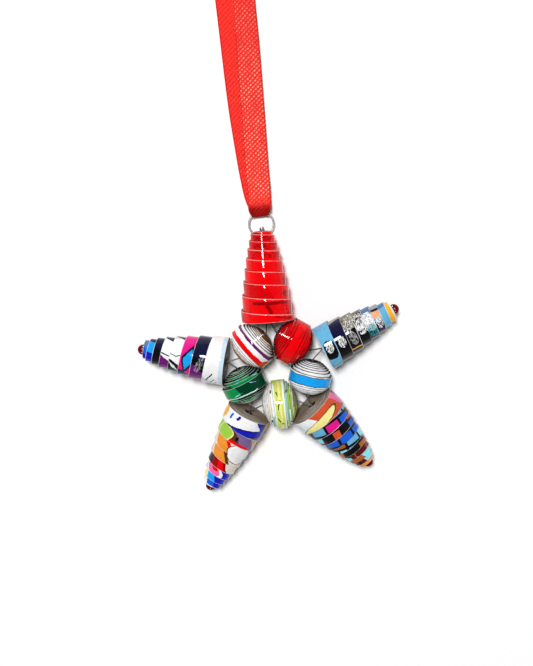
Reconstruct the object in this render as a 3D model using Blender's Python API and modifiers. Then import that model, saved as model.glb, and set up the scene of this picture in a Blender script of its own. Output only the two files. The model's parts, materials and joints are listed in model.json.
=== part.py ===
"""Paper bead star ornament, lying flat with its hanging ribbon above it.

Five cones and five barrels, each one long tapered strip of printed card rolled up and varnished,
are strung on one thin wire. The wire runs round the star through the barrels, out through each cone
and back again. Four tips end in a glass seed bead, the fifth in an eye that holds a jump ring, and a
satin ribbon is looped through that ring.

Metres, +Z up, +Y towards the ribbon. The star lies on the plane z = 0.
"""

import math
from dataclasses import dataclass

import bmesh
import bpy
from mathutils import Matrix, Vector

# The rolled card.
BARREL_RIDGE = 0.0009
BORE_RADIUS = 0.0010
TURN_SEGMENTS = 20

# The ring of barrels.
BARREL_COUNT = 5
BARREL_HALF_LENGTH = 0.0052
BARREL_END_RADIUS = 0.0017
BARREL_FULLNESS = 0.74
RIDGE_FIT = 0.8
FIRST_BARREL_ANGLE = math.radians(60.9)
BARREL_GAP = 0.00025
CONE_GAP = 0.00025
TIP_LIFT = 0.0024
TIP_LIFT_SPARE = 0.0003
FLOOR_GAP = 0.0001
HALVINGS = 16
SEAT_RINGS = 4
SEAT_SPOKES = 48

# The stringing wire.
WIRE_RADIUS = 0.0002
STRAND_SHIFT = 0.00035
STRAND_SPREAD = 0.00068
WIRE_CLEARANCE = 0.00015
WIRE_BEND = 0.0006
TIGHT_BEND = 0.00028
WIRE_END_GAP = 0.0006
BEND_STEPS = 3

# The glass seed beads at four of the tips, each nestled in the mouth of its cone.
SEED_RADIUS = 0.0014
SEED_HALF_LENGTH = 0.00085
SEED_HOLE_RADIUS = 0.00045
SEED_CORNER = 0.00035
SEED_SINK = 0.0010
MOUTH_DEPTH = 0.0015
MOUTH_ROOM = 0.00015
SEED_SEGMENTS = 12

# The jump ring, its place under the tip of the top cone, and the eye that holds it.
RING_RADIUS = 0.003375
RING_WIRE_RADIUS = 0.00035
RING_TUCK = 0.00195
RING_CUT = 0.0002
RING_CUT_ANGLE = math.radians(215)
RING_STEPS = 36
EYE_REACH = 0.00055

# The satin ribbon.
RIBBON_WIDTH = 0.00635
RIBBON_THICKNESS = 0.0003
RIBBON_HEADING = math.radians(96.0)
RIBBON_LENGTH = 0.125
RIBBON_STATIONS = 80
FOLD_DEPTH = 0.0013
FOLD_WIDTH = 0.0030
FOLD_ROOM = 0.00055
RING_PASS_WIDTH = 0.0059
KNOT_LENGTH = 0.0095
KNOT_WIDTH = 0.0098
KNOT_HEIGHT = 0.0056
TAIL_LENGTH = 0.014
TAIL_SPREAD = math.radians(20)
TAIL_THICKNESS = 0.0007
TAIL_ROOT = 0.00095
TAIL_OVERLAP = 0.00056
RIBBON_GAP = 0.0003

# How finely the shapes are drawn.
SHARP_ANGLE = math.radians(35)
STRAIGHT_ANGLE = math.radians(4)
BEND_ROOM = 0.49
KNOT_SEGMENTS = 16
KNOT_RINGS = 10


@dataclass(frozen=True)
class Cone:
    """One arm: heading and sideways offset of its bore in plan, its sizes, and where its strip ends.

    Headings and the strip's end are in degrees, the end measured round the bore from the left side
    as seen from above with the tip ahead.
    """

    name: str
    heading: float
    offset: float
    length: float
    wide_radius: float
    tip_radius: float
    card: float
    end_width: float
    strip_end: float
    colour: tuple
    carries_ring: bool = False


@dataclass(frozen=True)
class Barrel:
    """One barrel bead of the inner ring."""

    name: str
    radius: float
    colour: tuple


CONES = (
    Cone("top", 93.9, 0.00128, 0.0241, 0.0074, 0.0024, 0.00057, 0.0010, 195, (0.75, 0.02, 0.03), True),
    Cone("left", 172.7, -0.0008, 0.0228, 0.0070, 0.0022, 0.00057, 0.0030, 345, (0.25, 0.22, 0.45)),
    Cone("lower_left", 243.4, -0.0012, 0.0240, 0.0064, 0.0021, 0.00050, 0.0030, 210, (0.55, 0.42, 0.35)),
    Cone("lower_right", 313.1, 0.0006, 0.0232, 0.0072, 0.0020, 0.00050, 0.0025, 230, (0.2, 0.45, 0.6)),
    Cone("right", 29.1, -0.0009, 0.0217, 0.0064, 0.0024, 0.00048, 0.0010, 200, (0.1, 0.14, 0.25)),
)
BARRELS = (
    Barrel("red", 0.0065, (0.65, 0.03, 0.03)),
    Barrel("white", 0.0066, (0.8, 0.72, 0.68)),
    Barrel("green", 0.0061, (0.01, 0.2, 0.08)),
    Barrel("lime", 0.0069, (0.65, 0.75, 0.45)),
    Barrel("blue", 0.0059, (0.2, 0.5, 0.7)),
)
BORE_HEIGHT = max(barrel.radius for barrel in BARRELS) + FLOOR_GAP


def clear_scene():
    """Empties the scene that the script starts in."""
    for old in list(bpy.data.objects):
        bpy.data.objects.remove(old, do_unlink=True)
    for old in list(bpy.data.collections):
        bpy.data.collections.remove(old)


def make_material(name, colour, roughness, metallic=0.0, coat=0.0):
    """A Principled material of one colour."""
    material = bpy.data.materials.new(name)
    material.use_nodes = True
    shader = material.node_tree.nodes["Principled BSDF"]
    shader.inputs["Base Color"].default_value = (*colour, 1.0)
    shader.inputs["Roughness"].default_value = roughness
    shader.inputs["Metallic"].default_value = metallic
    shader.inputs["Coat Weight"].default_value = coat
    return material


def place(thing, collection, parent, matrix):
    """Links an object and puts it where the matrix says, in the star's frame, under its parent."""
    collection.objects.link(thing)
    thing.parent = parent
    bpy.context.view_layer.update()
    thing.matrix_local = parent.matrix_world.inverted() @ matrix


def add_object(name, data, material, parent, matrix):
    """Adds a named object for one sub-part."""
    thing = bpy.data.objects.new(name, data)
    thing.data.materials.append(material)
    place(thing, parent.users_collection[0], parent, matrix)
    return thing


def shade(mesh):
    """Smooths round faces and keeps real edges sharp."""
    mesh.shade_smooth()
    mesh.set_sharp_from_angle(angle=SHARP_ANGLE)


def axes_matrix(side, up, along, place):
    """The matrix of a frame with these unit axes at this place."""
    turn = Matrix((side, up, along)).transposed()
    return Matrix.Translation(place) @ turn.to_4x4()


def barrel_ridges(barrel):
    """The barrel's turns of card as (radius under it, radius over it, half its width), inmost first."""
    count = round((barrel.radius - BARREL_END_RADIUS) / BARREL_RIDGE)
    rise = (barrel.radius - BARREL_END_RADIUS) / count
    ridges = []
    for index in range(count):
        inner = BARREL_END_RADIUS + rise * index
        share = 1 - ((inner + rise * RIDGE_FIT) / barrel.radius) ** (1 / BARREL_FULLNESS)
        ridges.append((inner, inner + rise, BARREL_HALF_LENGTH * math.sqrt(share)))
    return ridges


def barrel_reach(barrel, angle_to_bore):
    """How far the barrel reaches from its centre in a direction at this angle to its bore."""
    along, across = abs(math.cos(angle_to_bore)), abs(math.sin(angle_to_bore))
    return max(half * along + outer * across for _, outer, half in barrel_ridges(barrel))


def ring_of_barrels_radius():
    """Radius of the circle of barrel centres at which every two neighbours just clear each other."""
    half_turn = math.pi / BARREL_COUNT
    spans = []
    for index, barrel in enumerate(BARRELS):
        neighbour = BARRELS[(index + 1) % BARREL_COUNT]
        spans.append(barrel_reach(barrel, half_turn) + barrel_reach(neighbour, half_turn))
    return (max(spans) + BARREL_GAP) / (2 * math.sin(half_turn))


BARREL_CIRCLE = ring_of_barrels_radius()


def barrel_angle(index):
    """Where a barrel sits round the star."""
    return FIRST_BARREL_ANGLE + index * 2 * math.pi / BARREL_COUNT


def barrel_frame(index):
    """Centre of a barrel, and the unit vector along its bore, anticlockwise round the star."""
    angle = barrel_angle(index)
    centre = Vector((BARREL_CIRCLE * math.cos(angle), BARREL_CIRCLE * math.sin(angle), BORE_HEIGHT))
    bore = Vector((-math.sin(angle), math.cos(angle), 0))
    return centre, bore


def distance_to_barrels(place):
    """Distance from a point to the nearest turn of card of any barrel."""
    nearest = math.inf
    for index, barrel in enumerate(BARRELS):
        centre, bore = barrel_frame(index)
        along = abs((place - centre).dot(bore))
        across = (place - centre).cross(bore).length
        for _, outer, half in barrel_ridges(barrel):
            nearest = min(nearest, math.hypot(max(along - half, 0), max(across - outer, 0)))
    return nearest


def cone_strip(cone):
    """The rolled strip's edge as (turning angle, distance from the tip, radius under the strip).

    A strip with a straight slanting edge gains card thickness each turn, and its edge travels along
    the bore in proportion to the length of card rolled.
    """
    turns = (cone.wide_radius - cone.tip_radius) / cone.card - 1
    steps = round(turns * TURN_SEGMENTS)
    growth = (cone.wide_radius - cone.tip_radius - cone.card) / steps
    rolled = [cone.tip_radius * step + growth * step * step / 2 for step in range(steps + 1)]
    slant = (cone.length - cone.end_width) / rolled[-1]
    start = math.radians(cone.strip_end) - steps * 2 * math.pi / TURN_SEGMENTS
    return [
        (start + step * 2 * math.pi / TURN_SEGMENTS, slant * rolled[step], cone.tip_radius + growth * step)
        for step in range(steps + 1)
    ]


def ring_height():
    """Height of the jump ring's wire, with the eye and the ribbon passing under it."""
    under_eye = 2 * WIRE_RADIUS + WIRE_CLEARANCE
    under_ribbon = RIBBON_THICKNESS + 2 * WIRE_CLEARANCE
    return FLOOR_GAP + max(under_eye, under_ribbon) + RING_WIRE_RADIUS


def height_on_plane(cone, slope):
    """Height of the flat end's middle when the cone lies on the plane with its bore at this slope."""
    corners = [(0.0, cone.wide_radius)]
    for _, from_tip, radius in cone_strip(cone):
        corners.append((cone.length - from_tip, radius + cone.card))
    return max(along * math.sin(slope) + radius * math.cos(slope) for along, radius in corners)


def tip_lift(cone):
    """How high the underside of a cone's tip lies: over the eye and the jump ring, or nearly level."""
    if cone.carries_ring:
        return ring_height() + RING_WIRE_RADIUS + 2 * (WIRE_RADIUS + WIRE_CLEARANCE) + TIP_LIFT_SPARE
    return TIP_LIFT


class ConeFrame:
    """Where a cone lies: unit vectors along its bore, up and to its left, and its two end centres."""

    def __init__(self, cone):
        heading = math.radians(cone.heading)
        self.flat = Vector((math.cos(heading), math.sin(heading), 0))
        self.slope = self.find_slope(cone)
        up = Vector((0, 0, 1))
        self.along = self.flat * math.cos(self.slope) - up * math.sin(self.slope)
        self.up = self.flat * math.sin(self.slope) + up * math.cos(self.slope)
        self.left = self.up.cross(self.along)
        self.wide = self.seat(cone)
        self.tip = self.wide + self.along * cone.length

    @staticmethod
    def find_slope(cone):
        """The slope at which the cone lies on the plane with the underside of its tip at its lift."""
        flat, steep = 0.0, math.pi / 6
        for _ in range(HALVINGS):
            slope = (flat + steep) / 2
            tip = cone.length * math.sin(slope) + (cone.tip_radius + cone.card) * math.cos(slope)
            if height_on_plane(cone, slope) - tip > tip_lift(cone):
                flat = slope
            else:
                steep = slope
        return flat

    def seat(self, cone):
        """The middle of the flat end, as near the centre as the barrels let it come."""
        axis = self.left * cone.offset + Vector((0, 0, height_on_plane(cone, self.slope)))
        near, far = 0.0, BARREL_CIRCLE + 2 * BARREL_HALF_LENGTH
        for _ in range(HALVINGS):
            middle = (near + far) / 2
            if self.flat_end_clears(cone, axis + self.flat * middle):
                far = middle
            else:
                near = middle
        return axis + self.flat * far

    def flat_end_clears(self, cone, centre):
        """Whether the flat end, with its middle here, keeps its gap to every barrel."""
        for ring in range(1, SEAT_RINGS + 1):
            radius = cone.wide_radius * ring / SEAT_RINGS
            for spoke in range(SEAT_SPOKES):
                turn = 2 * math.pi * spoke / SEAT_SPOKES
                place = centre + (self.left * math.cos(turn) + self.up * math.sin(turn)) * radius
                if distance_to_barrels(place) < CONE_GAP:
                    return False
        return True

    def matrix(self):
        """The bead's own frame, with its origin at the middle of the flat end and +Z towards the tip."""
        return axes_matrix(self.left, self.up, self.along, self.wide)

    def at(self, along, sideways, upwards):
        """A point given along the bore from the flat end, to the left and upwards."""
        return self.wide + self.along * along + self.left * sideways + self.up * upwards


FRAMES = {cone.name: ConeFrame(cone) for cone in CONES}


def mouth_size(cone):
    """Radius and depth of the mouth at a cone's tip, wide enough for the seed bead and its wire."""
    if cone.carries_ring:
        return (BORE_RADIUS + cone.tip_radius) / 2, MOUTH_DEPTH / 2
    return max(SEED_RADIUS, wire_over_seed() + WIRE_RADIUS) + MOUTH_ROOM, MOUTH_DEPTH


def cone_mesh(cone):
    """A stepped cone: every turn of the strip stands one card thickness above the turn before it."""
    strip = cone_strip(cone)
    last = len(strip) - 1
    one_turn = TURN_SEGMENTS
    work = bmesh.new()

    def point(angle, from_tip, radius):
        height = cone.length - from_tip
        return work.verts.new((radius * math.cos(angle), radius * math.sin(angle), height))

    growth = strip[1][2] - strip[0][2]
    thickness = growth * one_turn
    foot = [point(*place) for place in strip]
    edge = [point(angle, from_tip, radius + thickness) for angle, from_tip, radius in strip]
    # The turns that show at the tip's end face, and the rim of the flat wide end.
    inner = [point(angle, 0.0, radius) for angle, _, radius in strip[1:one_turn]]
    face = [foot[0], *inner, edge[0]]
    mouth_radius, mouth_depth = mouth_size(cone)
    rim_start = last - one_turn
    rim = [point(angle, cone.length, radius + thickness) for angle, _, radius in strip[rim_start:]]
    mouth_rim = [point(strip[step][0], 0.0, mouth_radius) for step in range(one_turn)]
    mouth_foot = [point(strip[step][0], mouth_depth, mouth_radius) for step in range(one_turn)]
    tip_bore = [point(strip[step][0], mouth_depth, BORE_RADIUS) for step in range(one_turn)]
    wide_bore = [point(strip[step][0], cone.length, BORE_RADIUS) for step in range(rim_start, last)]

    for step in range(last):
        work.faces.new((foot[step], foot[step + 1], edge[step + 1], edge[step]))
    for step in range(one_turn):
        corners = [face[step], face[step + 1], foot[step + 1]]
        if step > 0:
            corners.append(foot[step])
        work.faces.new(corners)
    for step in range(rim_start):
        lower = step + one_turn
        work.faces.new((edge[step], edge[step + 1], foot[lower + 1], foot[lower]))
    for step in range(one_turn):
        place = rim_start + step
        corners = [edge[place], edge[place + 1], rim[step + 1], rim[step]]
        if step == 0:
            corners.append(foot[last])
        work.faces.new(corners)
    work.faces.new((foot[last], rim[0], rim[-1], edge[last]))
    for step in range(one_turn):
        following = (step + 1) % one_turn
        work.faces.new((mouth_rim[step], mouth_rim[following], face[step + 1], face[step]))
        work.faces.new((mouth_foot[step], mouth_foot[following], mouth_rim[following], mouth_rim[step]))
        work.faces.new((tip_bore[step], tip_bore[following], mouth_foot[following], mouth_foot[step]))
        work.faces.new((wide_bore[step], rim[step], rim[step + 1], wide_bore[following]))
    work.faces.new((mouth_rim[0], face[0], face[-1]))
    work.faces.new((wide_bore[0], rim[-1], rim[0]))
    shift = rim_start % one_turn
    for step in range(one_turn):
        near = wide_bore[step]
        near_next = wide_bore[(step + 1) % one_turn]
        far = tip_bore[(step + shift) % one_turn]
        far_next = tip_bore[(step + shift + 1) % one_turn]
        work.faces.new((near, near_next, far_next, far))
    bmesh.ops.recalc_face_normals(work, faces=work.faces)
    mesh = bpy.data.meshes.new(f"cone_bead_{cone.name}")
    work.to_mesh(mesh)
    work.free()
    shade(mesh)
    return mesh


def turned(name, profile, segments, material, parent, matrix):
    """A ring-shaped solid turned from a closed profile of (radius, height), outer side from the top down."""
    mesh = bpy.data.meshes.new(name)
    corners = [(radius, 0.0, height) for radius, height in profile]
    edges = [(index, (index + 1) % len(corners)) for index in range(len(corners))]
    mesh.from_pydata(corners, edges, [])
    thing = add_object(name, mesh, material, parent, matrix)
    screw = thing.modifiers.new("turn", "SCREW")
    screw.axis = "Z"
    screw.steps = segments
    screw.render_steps = segments
    screw.use_merge_vertices = True
    screw.merge_threshold = 0.000001
    screw.use_smooth_shade = False
    return thing


def barrel_profile(barrel):
    """Closed profile of a stepped barrel, down the outer side and back up the bore."""
    ridges = barrel_ridges(barrel)
    top = ridges[0][2]
    upper = [(BORE_RADIUS, top), (ridges[0][1], top)]
    for inner, outer, half in ridges[1:]:
        upper.append((inner, half))
        upper.append((outer, half))
    lower = [(radius, -height) for radius, height in reversed(upper)]
    return upper + lower


def seed_profile():
    """Closed profile of a seed bead with rounded corners."""
    corner = SEED_CORNER
    outer = []
    for step in range(3):
        turn = math.radians(90 - 45 * step)
        outer.append(
            (
                SEED_RADIUS - corner + corner * math.cos(turn),
                SEED_HALF_LENGTH - corner + corner * math.sin(turn),
            )
        )
    hole_top = (SEED_HOLE_RADIUS, SEED_HALF_LENGTH - corner / 3)
    upper = [(SEED_HOLE_RADIUS + corner / 3, SEED_HALF_LENGTH)] + outer
    lower = [(radius, -height) for radius, height in reversed(upper)]
    return [hole_top] + upper + lower + [(hole_top[0], -hole_top[1])]


def bent_path(corners):
    """Rounds the corners of a path. Each corner is (point, bend radius), and a radius of 0 keeps it."""
    path = [corners[0][0]]
    for before, (corner, radius), after in zip(corners, corners[1:], corners[2:]):
        arriving = (before[0] - corner).normalized()
        leaving = (after[0] - corner).normalized()
        angle = arriving.angle(leaving)
        if radius == 0 or math.pi - angle < STRAIGHT_ANGLE:
            path.append(corner)
            continue
        room = BEND_ROOM * min((before[0] - corner).length, (after[0] - corner).length)
        setback = min(radius / math.tan(angle / 2), room)
        centre = corner + (arriving + leaving).normalized() * setback / math.cos(angle / 2)
        start, end = corner + arriving * setback - centre, corner + leaving * setback - centre
        sweep = math.pi - angle
        steps = max(1, round(BEND_STEPS * sweep / (math.pi / 2)))
        for step in range(steps + 1):
            share = step / steps
            spoke = (start * math.sin((1 - share) * sweep) + end * math.sin(share * sweep)) / math.sin(sweep)
            path.append(centre + spoke)
    path.append(corners[-1][0])
    return path


def round_wire(name, path, radius, material, parent, origin):
    """A round wire with closed ends along a path, with its own origin at a point."""
    curve = bpy.data.curves.new(name, "CURVE")
    curve.dimensions = "3D"
    curve.bevel_depth = radius
    curve.bevel_resolution = 2
    curve.use_fill_caps = True
    spline = curve.splines.new("POLY")
    spline.points.add(len(path) - 1)
    for node, point in zip(spline.points, path):
        node.co = (*(point - origin), 1.0)
    return add_object(name, curve, material, parent, Matrix.Translation(origin))


def seed_centre_distance(cone):
    """How far along the bore from the flat end a seed bead's centre lies."""
    return cone.length - SEED_SINK + SEED_RADIUS


def wire_over_seed():
    """How far from a seed bead's middle the wire passes over and under it."""
    return SEED_HALF_LENGTH + WIRE_CLEARANCE + WIRE_RADIUS


def seed_loop(cone, frame):
    """The wire's corners out through a cone, through its seed bead, and back."""
    over = wire_over_seed()
    centre = seed_centre_distance(cone)
    bottom = cone.length - MOUTH_DEPTH
    shoulder = centre - SEED_RADIUS + SEED_CORNER
    upper = [
        (frame.at(0, 0, STRAND_SHIFT), WIRE_BEND),
        (frame.at(bottom, 0, STRAND_SPREAD), TIGHT_BEND),
        (frame.at(shoulder, 0, over), TIGHT_BEND),
        (frame.at(centre, 0, over), TIGHT_BEND),
    ]
    lower = [
        (frame.at(centre, 0, -over), TIGHT_BEND),
        (frame.at(shoulder, 0, -over), TIGHT_BEND),
        (frame.at(bottom, 0, -STRAND_SPREAD), TIGHT_BEND),
        (frame.at(0, 0, -STRAND_SHIFT), WIRE_BEND),
    ]
    return upper + lower


def eye_corner(frame, forward, sideways, height):
    """A corner of the eye, forward of the tip in plan, to its left, at a height."""
    left = Vector((0, 0, 1)).cross(frame.flat)
    flat = Vector((frame.tip.x, frame.tip.y, 0)) + frame.flat * forward + left * sideways
    return flat + Vector((0, 0, height)), TIGHT_BEND


def eye_loop(cone, frame):
    """The wire's corners out of the top cone, down its end, round the jump ring and back in."""
    ring = ring_height()
    around = RING_WIRE_RADIUS + WIRE_CLEARANCE + WIRE_RADIUS
    behind = -RING_TUCK - around
    side = STRAND_SHIFT
    start = cone.length - EYE_REACH
    return [
        (frame.at(start, -side, 0), 0),
        eye_corner(frame, EYE_REACH, -side, frame.tip.z),
        eye_corner(frame, EYE_REACH, -side, ring - around),
        eye_corner(frame, behind, -side / 2, ring - around),
        eye_corner(frame, behind, side / 2, ring + around),
        eye_corner(frame, EYE_REACH, side, ring + around + WIRE_CLEARANCE),
        eye_corner(frame, EYE_REACH, side, frame.tip.z),
        (frame.at(start, side, 0), 0),
    ]


def wire_path():
    """The whole stringing wire, from its cut end inside the top cone round the star and back."""
    top = CONES[0]
    frame = FRAMES[top.name]
    middle = top.length / 2
    corners = [(frame.at(middle, -STRAND_SHIFT, 0), 0)]
    corners += eye_loop(top, frame)
    corners.append((frame.at(0, STRAND_SHIFT, 0), WIRE_BEND))
    for step in range(BARREL_COUNT):
        index = (step + 1) % BARREL_COUNT
        centre, bore = barrel_frame(index)
        corners.append((centre - bore * BARREL_HALF_LENGTH, WIRE_BEND))
        corners.append((centre + bore * BARREL_HALF_LENGTH, WIRE_BEND))
        if step + 1 < BARREL_COUNT:
            cone = CONES[step + 1]
            corners += seed_loop(cone, FRAMES[cone.name])
    corners.append((frame.at(0, -STRAND_SHIFT, 0), WIRE_BEND))
    corners.append((frame.at(middle - WIRE_END_GAP, -STRAND_SHIFT, 0), 0))
    return bent_path(corners)


def ring_centre():
    """Centre of the jump ring, which lies flat with one side tucked under the top cone's tip."""
    frame = FRAMES[CONES[0].name]
    flat = Vector((frame.tip.x, frame.tip.y, 0)) + frame.flat * (RING_RADIUS - RING_TUCK)
    return flat + Vector((0, 0, ring_height()))


def ring_pivot():
    """The point of the jump ring that the eye holds."""
    return ring_centre() - FRAMES[CONES[0].name].flat * RING_RADIUS


def ribbon_axes():
    """Unit vectors along the ribbon, away from the star, and to its right."""
    along = Vector((math.cos(RIBBON_HEADING), math.sin(RIBBON_HEADING), 0))
    return along, Vector((along.y, -along.x, 0))


def ribbon_pivot():
    """The point of the jump ring that the ribbon's fold goes round."""
    return ring_centre() + ribbon_axes()[0] * RING_RADIUS


@dataclass(frozen=True)
class Station:
    """A place on the ribbon: along it and to its right from the pivot, its height, width and roll."""

    along: float
    right: float
    height: float
    width: float
    roll: float


def ribbon_stations():
    """The ribbon's route by hand: up the back strand from the knot, round the ring, and back on top."""
    low = FLOOR_GAP + RIBBON_THICKNESS / 2
    middle = ring_height()
    over = middle + RING_WIRE_RADIUS + FOLD_ROOM + RIBBON_THICKNESS / 2
    end = RIBBON_LENGTH - KNOT_LENGTH / 2 - RIBBON_GAP
    full = RIBBON_WIDTH
    passing = RING_PASS_WIDTH
    stacked = 2 * low + RIBBON_THICKNESS
    knot_level = KNOT_HEIGHT / 2
    return (
        Station(end, -0.0004, knot_level - 0.0006, full * 0.8, 0),
        Station(0.112, -0.0012, 0.0009, full, 0),
        Station(0.100, -0.0026, low, full, 0),
        Station(0.077, -0.0032, low, full, 0),
        Station(0.0567, -0.0027, low, full, 0),
        Station(0.0309, -0.0024, low, full, 0),
        Station(0.0176, -0.0018, low, full, 0),
        Station(0.0090, -0.0012, low, full, 0),
        Station(0.0040, -0.0006, low, full, 0),
        Station(0.0008, -0.0001, low, passing * 0.9, 0),
        Station(-FOLD_DEPTH * 0.8, 0.0, low + 0.0002, FOLD_WIDTH, 0),
        Station(-FOLD_DEPTH, 0.0, middle, FOLD_WIDTH, 0),
        Station(-FOLD_DEPTH * 0.85, 0.0, over - 0.0003, FOLD_WIDTH, 0),
        Station(-0.0002, 0.0, over, FOLD_WIDTH * 1.15, 0),
        Station(0.0008, 0.0, over + 0.0001, passing * 0.95, 0),
        Station(0.0024, 0.0001, over + 0.0001, full * 0.98, 0),
        Station(0.0060, 0.0003, over - 0.0002, full, 0),
        Station(0.0110, 0.0004, stacked + 0.0006, full, 0),
        Station(0.0176, 0.0006, stacked + 0.0003, full, 0),
        Station(0.0309, 0.0010, stacked + 0.0004, full, 4),
        Station(0.0440, 0.0014, stacked + 0.0008, full, 14),
        Station(0.0567, 0.0017, stacked + 0.0011, full, 24),
        Station(0.0770, 0.0024, stacked + 0.0013, full, 26),
        Station(0.0960, 0.0022, stacked + 0.0009, full, 14),
        Station(0.109, 0.0010, stacked + 0.0009, full, 4),
        Station(end, 0.0004, knot_level + 0.0006, full * 0.8, 0),
    )


def smooth_value(values, place):
    """A value between numbered stations on a smooth curve through all of them."""
    index = min(int(place), len(values) - 2)
    share = place - index
    second, third = values[index], values[index + 1]
    first = values[max(index - 1, 0)]
    fourth = values[min(index + 2, len(values) - 1)]
    square, cube = share * share, share * share * share
    return 0.5 * (
        2 * second
        + (third - first) * share
        + (2 * first - 5 * second + 4 * third - fourth) * square
        + (3 * second - first - 3 * third + fourth) * cube
    )


def ribbon_lines():
    """The left and right edge lines of the ribbon's middle layer."""
    stations = ribbon_stations()
    along, right = ribbon_axes()
    origin = ribbon_pivot()
    count = len(stations)
    columns = {
        field: [getattr(station, field) for station in stations]
        for field in ("along", "right", "height", "width", "roll")
    }
    edges = []
    for step in range(RIBBON_STATIONS + 1):
        place = (count - 1) * step / RIBBON_STATIONS
        here = {field: smooth_value(values, place) for field, values in columns.items()}
        centre = Vector((origin.x, origin.y, here["height"])) + along * here["along"] + right * here["right"]
        roll = math.radians(here["roll"])
        across = (right * math.cos(roll) - Vector((0, 0, math.sin(roll)))) * here["width"] / 2
        edges.append((centre - across, centre + across))
    return edges


def make_ribbon(material, parent):
    """The ribbon: one strip swept along its route, thickened on both sides."""
    origin = ribbon_pivot()
    work = bmesh.new()
    previous = None
    for left, right in ribbon_lines():
        pair = (work.verts.new(left - origin), work.verts.new(right - origin))
        if previous:
            work.faces.new((previous[0], previous[1], pair[1], pair[0]))
        previous = pair
    mesh = bpy.data.meshes.new("hanging_ribbon")
    work.to_mesh(mesh)
    work.free()
    ribbon = add_object("hanging_ribbon", mesh, material, parent, Matrix.Translation(origin))
    thicken = ribbon.modifiers.new("thickness", "SOLIDIFY")
    thicken.thickness = RIBBON_THICKNESS
    thicken.offset = 0
    return ribbon


def add_boolean(target, tool, operation):
    """Joins or cuts a target with a tool that isn't part of the model."""
    tool.hide_render = True
    tool.display_type = "WIRE"
    change = target.modifiers.new(operation.lower(), "BOOLEAN")
    change.operation = operation
    change.solver = "EXACT"
    change.object = tool


def make_knot(material, parent, cutters):
    """The overhand knot at the ribbon's end, a squat rounded lump with the two cut tails."""
    along, right = ribbon_axes()
    origin = ribbon_pivot()
    middle = Vector((origin.x, origin.y, KNOT_HEIGHT / 2 + FLOOR_GAP)) + along * RIBBON_LENGTH
    matrix = axes_matrix(right, along, Vector((0, 0, 1)), middle)
    work = bmesh.new()
    bmesh.ops.create_uvsphere(work, u_segments=KNOT_SEGMENTS, v_segments=KNOT_RINGS, radius=0.5)
    bmesh.ops.scale(work, vec=(KNOT_WIDTH, KNOT_LENGTH, KNOT_HEIGHT), verts=work.verts)
    mesh = bpy.data.meshes.new("ribbon_knot")
    work.to_mesh(mesh)
    work.free()
    shade(mesh)
    knot = add_object("ribbon_knot", mesh, material, parent, matrix)
    for side in (-1, 1):
        tail = bmesh.new()
        bmesh.ops.create_cube(tail, size=1.0)
        bmesh.ops.scale(tail, vec=(RIBBON_WIDTH, TAIL_LENGTH, TAIL_THICKNESS), verts=tail.verts)
        shape = bpy.data.meshes.new(f"tail_tool_{side}")
        tail.to_mesh(shape)
        tail.free()
        drop = -KNOT_HEIGHT / 2 + TAIL_THICKNESS / 2
        swing = Matrix.Rotation(-side * TAIL_SPREAD, 4, "Z")
        lift = (1 + side) / 2 * TAIL_OVERLAP
        shift = Matrix.Translation((0, TAIL_LENGTH / 2 + TAIL_ROOT, 0))
        tool = bpy.data.objects.new(f"tail_tool_{side}", shape)
        place(tool, cutters, knot, matrix @ Matrix.Translation((0, 0, drop + lift)) @ swing @ shift)
        add_boolean(knot, tool, "UNION")
    return knot


def make_ring(material, parent):
    """The jump ring, a round wire bent nearly closed."""
    half_cut = RING_CUT / 2 / RING_RADIUS
    path = []
    for step in range(RING_STEPS + 1):
        turn = RING_CUT_ANGLE + half_cut + (2 * math.pi - 2 * half_cut) * step / RING_STEPS
        path.append(ring_centre() + Vector((math.cos(turn), math.sin(turn), 0)) * RING_RADIUS)
    return round_wire("jump_ring", path, RING_WIRE_RADIUS, material, parent, ring_pivot())


def centre_over_base(root, parts):
    """Moves the star so that the middle of its bounds, without the ribbon, is over the origin."""
    graph = bpy.context.evaluated_depsgraph_get()
    low, high = Vector((math.inf,) * 3), Vector((-math.inf,) * 3)
    for part in parts:
        shape = part.evaluated_get(graph)
        mesh = shape.to_mesh()
        for vertex in mesh.vertices:
            corner = shape.matrix_world @ vertex.co
            low = Vector(map(min, low, corner))
            high = Vector(map(max, high, corner))
        shape.to_mesh_clear()
    middle = (low + high) / 2
    root.location = (-middle.x, -middle.y, 0)
    bpy.context.view_layer.update()


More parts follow.
